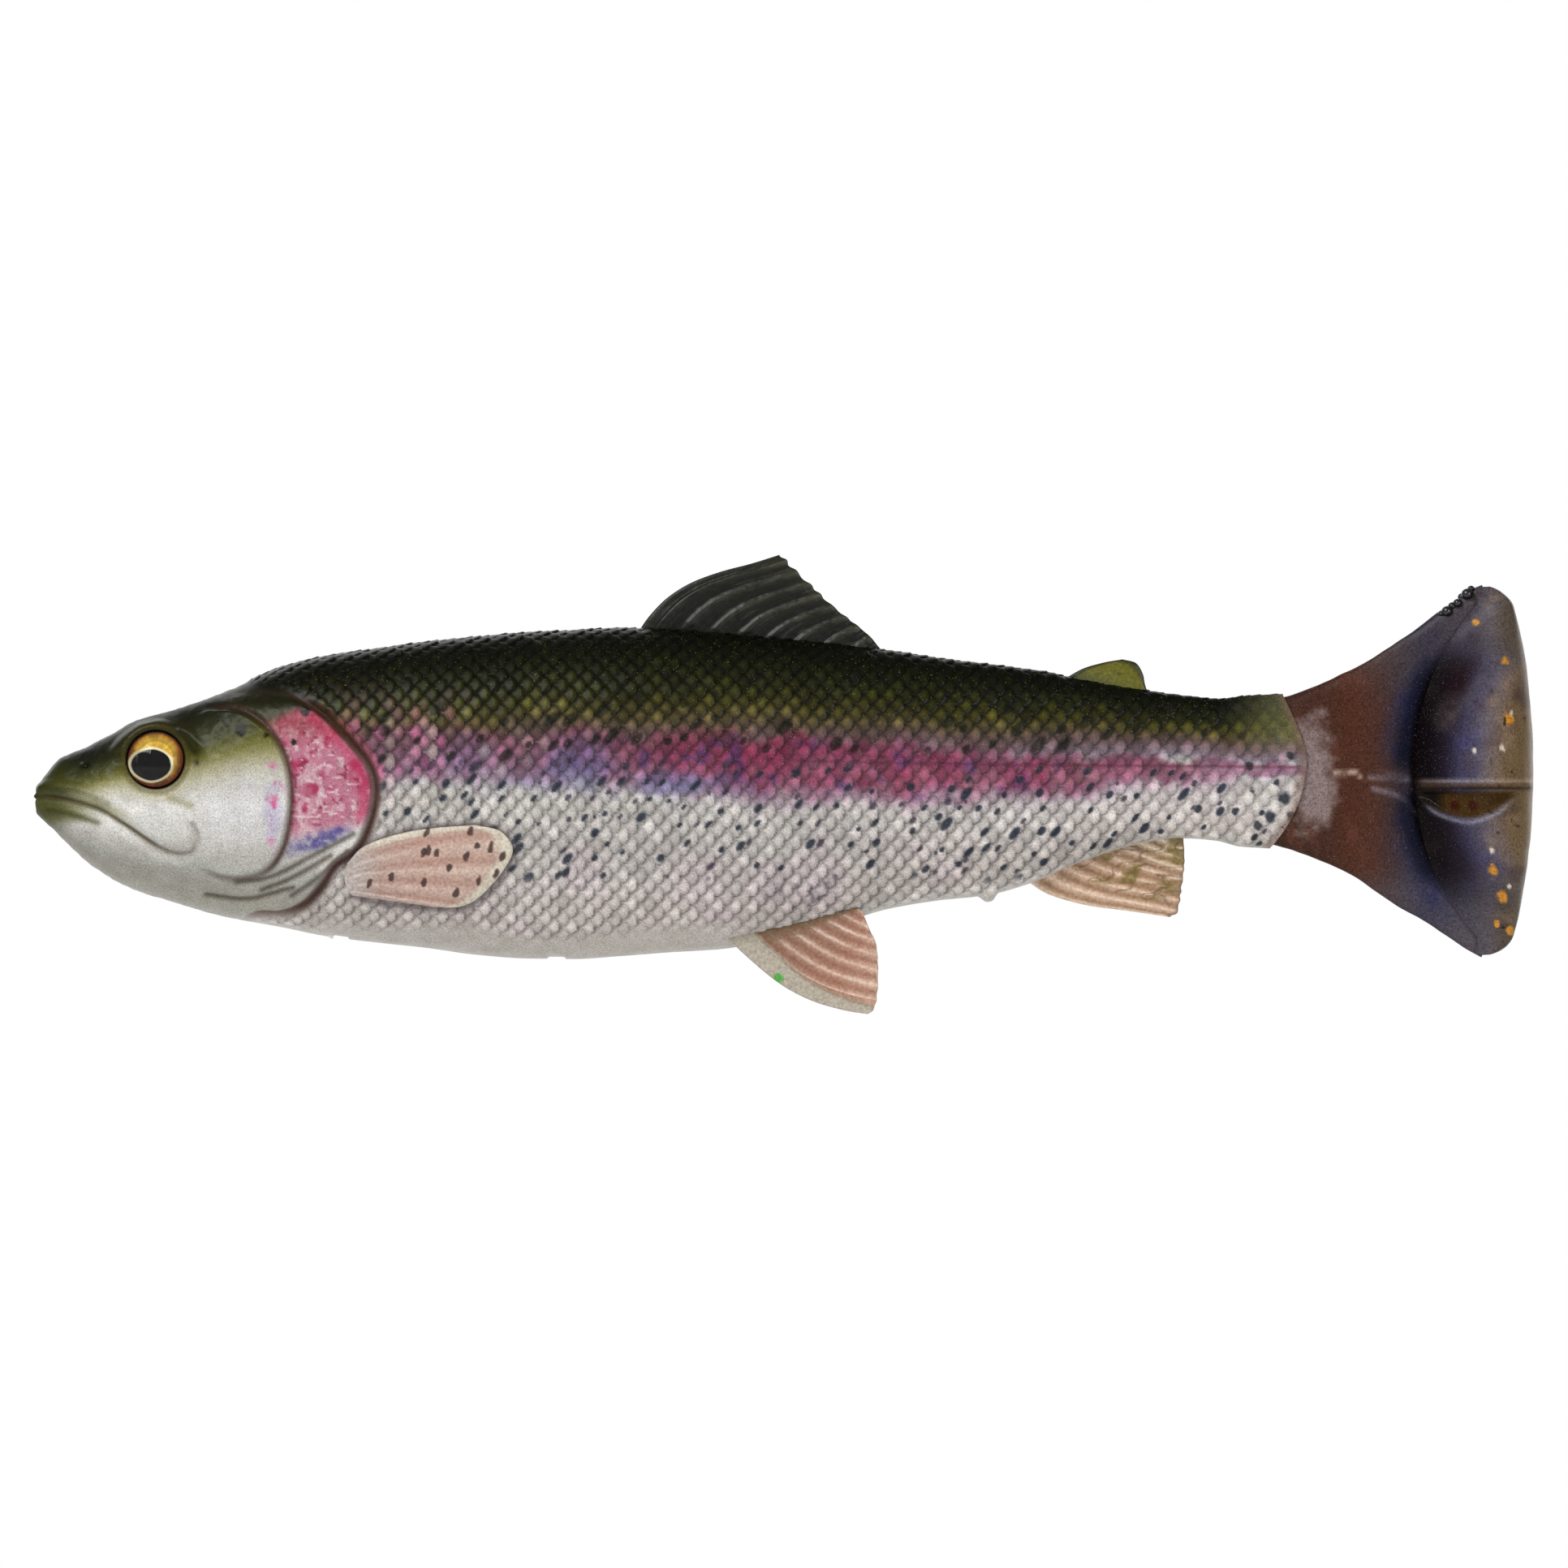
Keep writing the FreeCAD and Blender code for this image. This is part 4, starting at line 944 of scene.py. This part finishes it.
def fin_blade(name, body, root, lead, edge, rays, thick, ridge, paint, lean=None, ragged=0.0,
              first=0.0):
    """A fin of curved rays: each runs from the root line to the trailing edge, and the first
    one follows the leading edge."""
    root, lead, edge = rounded(root), rounded(lead), rounded(edge)
    nu, nv = int(72 / STEP), int(30 / STEP)
    u, v = np.linspace(0, 1, nu), np.linspace(0, 1, nv)

    def along(line, at):
        step = np.concatenate([[0], np.cumsum(np.hypot(*np.diff(line, axis=0).T))])
        return np.stack([np.interp(at * step[-1], step, line[:, k]) for k in (0, 1)], -1)

    a, b = along(root, u), along(edge, u)
    bulge = along(lead, v) - (a[0] + (b[0] - a[0]) * v[:, None])
    phase = (u - first) * rays * 2 * math.pi
    jag = 1 - ragged * (0.5 - 0.5 * np.cos(phase + 0.8 * np.sin(phase * 0.37)))
    xz = a[:, None] + (b - a)[:, None] * (v[None, :] * jag[:, None])[..., None]
    xz = xz + bulge[None] * ((1 - u) ** 1.6)[:, None, None]
    x, z = xz[..., 0], xz[..., 1]
    uu, vv = u[:, None] + 0 * v, v[None, :] + 0 * u[:, None]
    ray = (0.5 + 0.5 * np.cos(phase))[:, None] + 0 * v
    ray = np.where(uu < first, 0.35, ray)
    round_edge = (np.sqrt(np.clip(1 - vv ** 10, 0, 1))
                  * np.sqrt(np.clip(1 - np.abs(2 * uu - 1) ** 16, 0, 1)))
    half = thick / 2 * (1 - 0.5 * vv) * round_edge
    between = 0.25 * (0.5 + 0.5 * np.cos(2 * phase + 1.0))[:, None] ** 3
    half = half + (ridge * (ray ** 3 + between) * round_edge * smooth(0.0, 0.12, vv)
                   * (1 - 0.35 * vv))
    half = half + 0.03 + 0.06 * cloud(x, z, 1.0, 3) * round_edge
    base = lean(x, z, uu, vv) if lean else 0 * x
    near = np.stack([x, base - half, z], -1)
    far = np.stack([x, base + half, z], -1)
    size = nu * nv
    strips = []
    for i in range(nu - 1):
        for k in (0, nv - 1):
            p, r = i * nv + k, (i + 1) * nv + k
            strips.append((p, r, r + size, p + size))
    for k in range(nv - 1):
        for p in (k, (nu - 1) * nv + k):
            strips.append((p, p + 1, p + 1 + size, p + size))
    colour = paint(x, z, uu, vv, ray)
    faces = np.vstack([grid_faces(nu, nv, False), grid_faces(nu, nv, False)[:, ::-1] + size,
                       np.array(strips)])
    fin = make_mesh(name, np.vstack([near.reshape(-1, 3), far.reshape(-1, 3)]), faces, body,
                    np.vstack([colour.reshape(-1, 3)] * 2))
    bmesh_normals(fin)
    return fin


def bmesh_normals(obj):
    """Make a closed mesh's faces all point outwards."""
    import bmesh
    bm = bmesh.new()
    bm.from_mesh(obj.data)
    bmesh.ops.recalc_face_normals(bm, faces=bm.faces)
    bm.to_mesh(obj.data)
    bm.free()


def paint_dorsal(x, z, u, v, ray):
    ink = Ink(ladder(v, [(0, (25, 26, 17)), (0.25, (21, 22, 14)), (0.75, (23, 24, 14)),
                         (1, (44, 44, 30))]))
    ink(ray ** 4 * (0.35 + 0.4 * cloud(x, z, 1.8, 6)), 76, 76, 66)
    ink((1 - ray) ** 2 * 0.7, 8, 9, 5)
    twin = smooth(0.55, 0.75, noise(u * 46, v * 3.0, 1.0, 24))
    ink(twin * 0.4, 66, 66, 56)
    ink(smooth(0.22, 0.08, v) * 0.55, 14, 15, 10)
    spots = smooth(0.35, 0.7, cloud(x, z, 1.3, 5))
    return ink(spots * 0.45, 10, 10, 7)


def paint_adipose(x, z, u, v, ray):
    ink = Ink(ladder(v, [(0, (72, 74, 56)), (0.3, (96, 94, 38)), (0.8, (92, 90, 22)),
                         (1, (30, 30, 8))]))
    ink(smooth(0.10, 0.0, u) * 0.8, 12, 12, 4)
    return ink(smooth(0.4, 0.8, cloud(x, z, 1.2, 8)) * 0.5, 44, 42, 12)


def paint_anal(x, z, u, v, ray):
    ink = Ink(ladder(u, [(0, (198, 170, 148)), (0.35, (180, 148, 124)), (0.7, (184, 164, 138)),
                        (1, (192, 182, 160))]))
    ink((1 - ray) ** 1.5 * 0.55, 108, 78, 52)
    ink(ray ** 5 * 0.4, 226, 208, 190)
    wrinkle = bell(cloud(x * 0.5, z, 1.6, 21), 0.07) * smooth(0.1, 0.25, u)
    ink(wrinkle * 0.6, 92, 70, 52)
    creases = smooth(0.15, 0.55, cloud(x * 0.35, z, 1.1, 12))
    ink(creases * smooth(0.1, 0.3, u) * 0.6, 92, 80, 30)
    ink(smooth(0.6, 0.9, cloud(x, z, 0.9, 19)) * 0.5, 226, 210, 190)
    return ink(smooth(0.95, 1.0, v) * 0.6, 120, 92, 74)


def paint_pelvic(x, z, u, v, ray, flaw):
    ink = Ink(ladder(v, [(0, (100, 86, 62)), (0.2, (138, 108, 92)), (0.7, (158, 118, 100)),
                        (1, (178, 146, 128))]))
    ink(ray ** 4 * smooth(0.12, 0.25, v) * (0.6 + 0.3 * cloud(x, z, 2.0, 26)), 216, 194, 180)
    ink((1 - ray) ** 3 * 0.45, 116, 76, 60)
    strip = 0.21 - 0.12 * v + 0.012 * cloud(x, z, 1.5, 16)
    ink(smooth(0.03, -0.01, u - strip) * 0.85, 164, 161, 148)
    ink(bell(u - strip, 0.012) * 0.5, 122, 104, 84)
    ink(smooth(0.4, 0.8, cloud(x, z, 1.4, 14)) * smooth(0.35, 0.1, v) * 0.6, 196, 190, 150)
    return ink(smooth(0.9, 0.4, np.hypot(x - 97.7, z + 23.8)) * flaw, 70, 150, 62)


SPOTS = [
    (50.5, -6.9), (51.2, -6.7), (52.3, -7.1), (56.2, -7.5), (57.6, -6.1), (59.5, -6.3),
    (61.0, -7.6), (53.9, -9.0), (46.2, -10.3), (43.3, -11.2), (50.6, -10.9), (57.8, -10.9),
    (54.8, -12.4), (51.0, -4.3), (56.7, -4.4), (60.2, -9.7)]


def paint_pectoral(x, z, u, v, ray):
    ink = Ink(ladder(v, [(0, (160, 145, 138)), (0.25, (168, 143, 133)), (0.5, (174, 144, 132)),
                        (1, (172, 148, 136))]))
    ink(ray ** 2 * 0.6 * (0.6 + 0.4 * cloud(x, z, 2.5, 15)), 206, 190, 176)
    ink((1 - ray) ** 3 * 0.3, 146, 106, 90)
    rim = np.maximum(smooth(0.9, 0.95, v), smooth(0.12, 0.07, u) * smooth(0.1, 0.3, v))
    ink(rim * 0.75, 196, 194, 176)
    ink(smooth(0.3, 0.05, v) * 0.6, 176, 170, 168)
    ink(smooth(0.8, 1.0, u) * 0.6, 184, 168, 164)
    for sx, sz in SPOTS:
        away = (np.hypot((x - sx) * 1.35 - 0.25 * (z - sz), (z - sz) * 0.8)
                + 0.3 * cloud(x, z, 0.7, 18))
        ink(smooth(0.62, 0.36, away) * 0.85, 58, 40, 36)
    return ink.colour


def flank_at(x, z):
    """Half-width of the body at a point of the side view, from the ring table."""
    rings = np.array(BODY_RINGS)[6:]
    top, bottom, half = [curve(x, rings[:, (0, k)]) for k in (1, 2, 3)]
    q = np.clip((z - (top + bottom) / 2) / ((top - bottom) / 2), -0.99, 0.99)
    power = roundness(x)
    return half * (1 - np.abs(q) ** power) ** (1 / power)


def build_fins():
    dorsal = fin_blade(
        "dorsal_fin_skin", "dorsal",
        [(79.0, 22.2), (87.0, 21.6), (95.0, 21.0), (103.0, 20.2), (111.3, 19.2)],
        [(79.0, 22.4), (80.6, 24.6), (83.0, 27.0), (86.2, 29.0), (90.2, 30.5), (94.3, 31.6),
         (98.1, 32.8)],
        [(98.1, 32.8), (99.8, 30.9), (102.6, 28.2), (104.6, 26.2), (106.9, 24.3), (109.6, 22.1),
         (111.4, 20.0)],
        8.5, 1.0, 0.26, paint_dorsal, ragged=0.018, first=0.06)
    dorsal.data.materials.append(fin_material("fin_dark_vinyl", 0.42, 0.1))
    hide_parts("dorsal_fin")
    adipose = fin_blade(
        "adipose_fin_skin", "adipose",
        [(135.8, 15.8), (141.0, 14.8), (147.0, 13.6)],
        [(136.0, 16.2), (138.4, 17.5), (141.2, 18.3), (143.6, 18.7)],
        [(143.6, 18.7), (145.4, 18.2), (146.3, 16.8), (146.6, 15.4), (147.0, 14.2)],
        3, 1.0, 0.05, paint_adipose)
    adipose.data.materials.append(fin_material("fin_olive_vinyl", 0.4, 0.12))
    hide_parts("adipose_fin")
    anal = fin_blade(
        "anal_fin_skin", "anal",
        [(131.0, -10.6), (135.3, -8.4), (140.3, -6.4), (145.1, -5.1), (151.2, -4.2)],
        [(131.0, -11.0), (133.8, -12.7), (138.7, -14.1), (144.5, -14.9), (149.9, -15.7)],
        [(149.9, -15.7), (151.0, -15.0), (151.5, -12.0), (151.9, -8.4), (151.7, -4.6)],
        8.5, 1.2, 0.2, paint_anal, ragged=0.01)
    anal.data.materials.append(fin_material("fin_tan_vinyl", 0.36, 0.2))
    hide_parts("anal_fin")
    for side, sign in (("left", -1), ("right", 1)):
        pelvic = fin_blade(
            "pelvic_fin_%s_skin" % side, "pelvic_" + side,
            [(90.3, -17.4), (95.0, -16.9), (101.0, -15.9), (108.4, -14.4)],
            [(90.3, -17.8), (93.2, -20.7), (97.8, -24.5), (102.1, -26.8), (106.5, -28.1),
             (109.6, -28.6)],
            [(109.6, -28.6), (110.6, -27.6), (111.0, -24.1), (110.8, -19.6), (109.9, -17.4),
             (108.9, -15.0)],
            7.2, 1.1, 0.22,
            lambda *at, flaw=0.9 * (sign < 0): paint_pelvic(*at, flaw),
            ragged=0.006, first=0.16,
            lean=lambda x, z, u, v, sign=sign: sign * (3.8 + 0.21 * (-17.4 - z + 0.18 * (x - 90))
                                                       + 0.5 * v * v))
        pelvic.data.materials.append(fin_material("fin_pink_vinyl_" + side, 0.34, 0.2))
        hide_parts("pelvic_fin_" + side)
        pectoral = fin_blade(
            "pectoral_fin_%s_skin" % side, "front",
            [(40.4, -8.6), (40.0, -10.2), (40.2, -11.6), (41.0, -12.8)],
            [(40.4, -8.4), (42.6, -6.2), (47.1, -4.6), (51.7, -3.8), (57.4, -3.4)],
            [(57.4, -3.4), (60.7, -4.2), (62.4, -6.6), (61.0, -9.6), (57.9, -13.0), (55.2, -14.3),
             (52.0, -14.3)],
            5, 1.3, 0.11, paint_pectoral, first=0.08,
            lean=lambda x, z, u, v, sign=sign: sign * (flank_at(x, z) + 0.2 + 0.5 * v ** 2))
        pectoral.data.materials.append(fin_material("pectoral_vinyl_" + side, 0.4, 0.15))
        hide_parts("pectoral_fin_" + side)


build_fins()


# ---------------------------------------------------------------- eyes
def build_eye(side, sign):
    """A printed foil under a clear dome; both are turned grids about the eye's axis."""
    aim = Vector((-0.10, sign, 0.17)).normalized()
    up = (Vector((0, 0, 1)) - aim * aim.z).normalized()
    across = up.cross(aim)
    across = across if across.x > 0 else -across
    centre = Vector((EYE_X, sign * EYE_SEAT, EYE_Z))

    def turned(name, profile, colour=None):
        turns = 96
        angle = np.linspace(0, 2 * math.pi, turns, endpoint=False)
        pts = []
        for radius, depth in profile:
            for a in angle:
                p = (centre + aim * depth + across * (radius * math.cos(a))
                     + up * (radius * math.sin(a)))
                pts.append(tuple(p))
        grid = np.array(pts).reshape(len(profile), turns, 3)
        r = np.array([p[0] for p in profile])[:, None] + 0 * angle
        a = angle[None, :] + 0 * r
        paint = colour(r * np.cos(a), r * np.sin(a)) if colour else np.full(grid.shape, 255.0)
        flat, faces, paint = with_caps(grid, grid_faces(len(profile), turns, True), paint)
        obj = make_mesh(name, flat, faces, "front", paint)
        bmesh_normals(obj)
        return obj

    def iris(px, pz):
        r = np.hypot(px, pz)
        angle = np.arctan2(pz, px)
        streak = noise(angle * 9 + 40, r, 0.8, 4)
        ink = Ink(ladder(r, [(0, (150, 96, 30)), (2.3, (246, 198, 76)), (2.9, (255, 204, 70)),
                            (3.35, (226, 150, 44)), (3.6, (110, 60, 20)), (3.8, (52, 28, 14))]))
        shade = smooth(0.55, 1.0, np.abs(px) / 3.8) + smooth(0.15, 0.9, -pz / 3.8)
        ink(shade * 0.8, 104, 44, 14)
        ink.scale(1 + 0.18 * streak)
        dx, dz = px + 0.25, pz + 0.75
        turn = np.arctan2(dz, dx)
        pupil = np.hypot(dx * 0.96, dz * 1.05) / (2.12 * (1 + 0.34 * np.maximum(
            np.cos(turn - math.radians(176)), 0) ** 4 + 0.03 * np.cos(3 * turn)))
        ink(smooth(1.24, 1.15, pupil), 255, 246, 200)
        return ink(smooth(1.07, 1.0, pupil), 14, 13, 12)

    steps = np.linspace(0.02, 1, 46)
    foil_r = EYE_R * 0.98
    foil = [(foil_r, 0.0), (foil_r, 0.42)]
    foil += [(foil_r * k, 0.45 + 0.12 * (1 - k * k)) for k in steps[::-1]]
    disc = turned("eye_%s_iris" % side, foil, iris)
    m = Nodes("iris_print_" + side)
    glint = m.noise(5000.0, 2.0)
    light = m.ramp(glint, [(0.3, (140, 140, 140)), (0.7, (255, 255, 255))])
    colour = m.shade(0.35, m.attribute("paint"), light)
    disc.data.materials.append(m.finish(base=colour, rough=0.5, metal=0.0, coat=0.0,
                                        coat_rough=0.05, spec=0.05))
    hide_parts("eye_%s_foil" % side)

    rise = 1.5
    reach = (EYE_R ** 2 + rise ** 2) / (2 * rise)
    dome_r = EYE_R * 0.985
    dome = [(dome_r, 0.52)]
    for k in np.linspace(1, 0.02, 40):
        radius = dome_r * k
        dome.append((radius, 0.55 + rise - reach + math.sqrt(reach ** 2 - radius ** 2)))
    cap = turned("eye_%s_dome_clear" % side, dome)
    m = Nodes("dome_resin_" + side)
    cap.data.materials.append(m.finish(base=(0.02, 0.02, 0.02, 1.0),
                                       rough=m.uneven(m.noise(300.0), 0.02, 0.02), alpha=0.22,
                                       coat=0.0, coat_rough=0.02, ior=1.45, spec=0.5))
    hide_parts("eye_%s_dome" % side)


build_eye("left", -1)
build_eye("right", 1)


# ---------------------------------------------------------------- plain materials
def plain(name, colour, rough, metal=0.0, size=900.0, bump=0.0001, coat=0.0):
    m = Nodes(name)
    grain = m.noise(size, 4.0)
    base = m.ramp(grain, [(0.3, tuple(c * 0.82 for c in colour)), (0.7, colour)])
    uneven = m.uneven(grain, 0.15, rough - 0.07)
    return m.finish(base=base, rough=uneven, metal=metal, normal=m.bump(grain, 0.4, bump),
                    coat=coat)


def mesh_cloth():
    m = Nodes("mesh_netting")
    wave = m.add("TexWave", {"Vector": m.place(), "Scale": 520.0, "Distortion": 0.4})
    base = m.ramp(wave.outputs["Fac"], [(0.3, (150, 150, 146)), (0.7, (228, 228, 222))])
    return m.finish(base=base, rough=0.8, normal=m.bump(wave.outputs["Fac"], 0.6, 0.0002))


build_web()
build_paddle()
build_drops()

# inner parts that stay as in CAD
INNER = {
    "line_tube": plain("tube_polymer", (224, 224, 216), 0.3, coat=0.3),
    "keel_weight": plain("cast_lead", (104, 104, 108), 0.5, 0.8, 700.0, 0.0003),
    "hook_magnet": plain("nickel_plate", (190, 190, 196), 0.2, 1.0),
}
for node_name in ("mesh_front", "mesh_rear", "mesh_tail"):
    INNER[node_name] = mesh_cloth()
for node_name, material in INNER.items():
    target = bpy.data.objects[node_name]
    target.data.materials.clear()
    target.data.materials.append(material)


# ---------------------------------------------------------------- studio
WORLD_LIGHT = 0.22      # as a light; the camera sees the world at 1
FLOOR = -0.120
FLOOR_X, FLOOR_Y = (-1.6, 1.8), (-0.95, 0.45)
VIEW_WIDTH, VIEW_LENS, HALF_SENSOR = 0.2092, 600.0, 18.0


def studio():
    scene = bpy.context.scene
    scene.view_settings.view_transform = "Standard"
    world = bpy.data.worlds.new("studio")
    world.use_nodes = True
    world.node_tree.nodes["Background"].inputs["Color"].default_value = (1, 1, 1, 1)
    tree = world.node_tree
    path = tree.nodes.new("ShaderNodeLightPath")
    strength = tree.nodes.new("ShaderNodeMath")
    strength.operation = "MULTIPLY_ADD"
    strength.inputs[1].default_value = 1.0 - WORLD_LIGHT
    strength.inputs[2].default_value = WORLD_LIGHT
    tree.links.new(path.outputs["Is Camera Ray"], strength.inputs[0])
    tree.links.new(strength.outputs[0], tree.nodes["Background"].inputs["Strength"])
    scene.world = world

    def sheet(name, corners, material):
        mesh = bpy.data.meshes.new(name)
        mesh.from_pydata(corners, [], [(0, 1, 2, 3)])
        obj = bpy.data.objects.new(name, mesh)
        scene.collection.objects.link(obj)
        obj.data.materials.append(material)

    m = Nodes("pale_floor")
    tone = m.ramp(m.noise(3.0), [(0.0, (248, 248, 248)), (1.0, (252, 252, 252))])
    m.finish(base=tone, rough=0.9)
    (x0, x1), (y0, y1) = FLOOR_X, FLOOR_Y
    sheet("floor", [(x0, y0, FLOOR), (x1, y0, FLOOR), (x1, y1, FLOOR), (x0, y1, FLOOR)],
          m.material)

    def area(name, place, aim, size, power):
        light = bpy.data.lights.new(name, "AREA")
        light.shape = "RECTANGLE"
        light.size, light.size_y = size
        light.energy = power
        obj = bpy.data.objects.new(name, light)
        obj.location = place
        obj.rotation_euler = (Vector(aim) - Vector(place)).to_track_quat("-Z", "Y").to_euler()
        scene.collection.objects.link(obj)

    middle = (0.1, 0, 0)
    area("back_panel", (0.1, 0.55, 0.2195), (0.1, 0, 0.2195), (1.2, 0.561), 3.43)
    area("key", (-0.55, -0.75, 0.85), middle, (0.5, 0.5), 17.0)
    area("fill", (0.85, -0.95, 0.25), middle, (0.5, 0.5), 7.0)

    lens = bpy.data.cameras.new("camera")
    lens.lens = VIEW_LENS
    lens.clip_start = 0.01
    view = bpy.data.objects.new("camera", lens)
    view.location = (0.09844, -VIEW_WIDTH / 2 / (HALF_SENSOR / VIEW_LENS), 0.00206)
    view.rotation_euler = (math.radians(90), 0, 0)
    scene.collection.objects.link(view)
    scene.camera = view


studio()
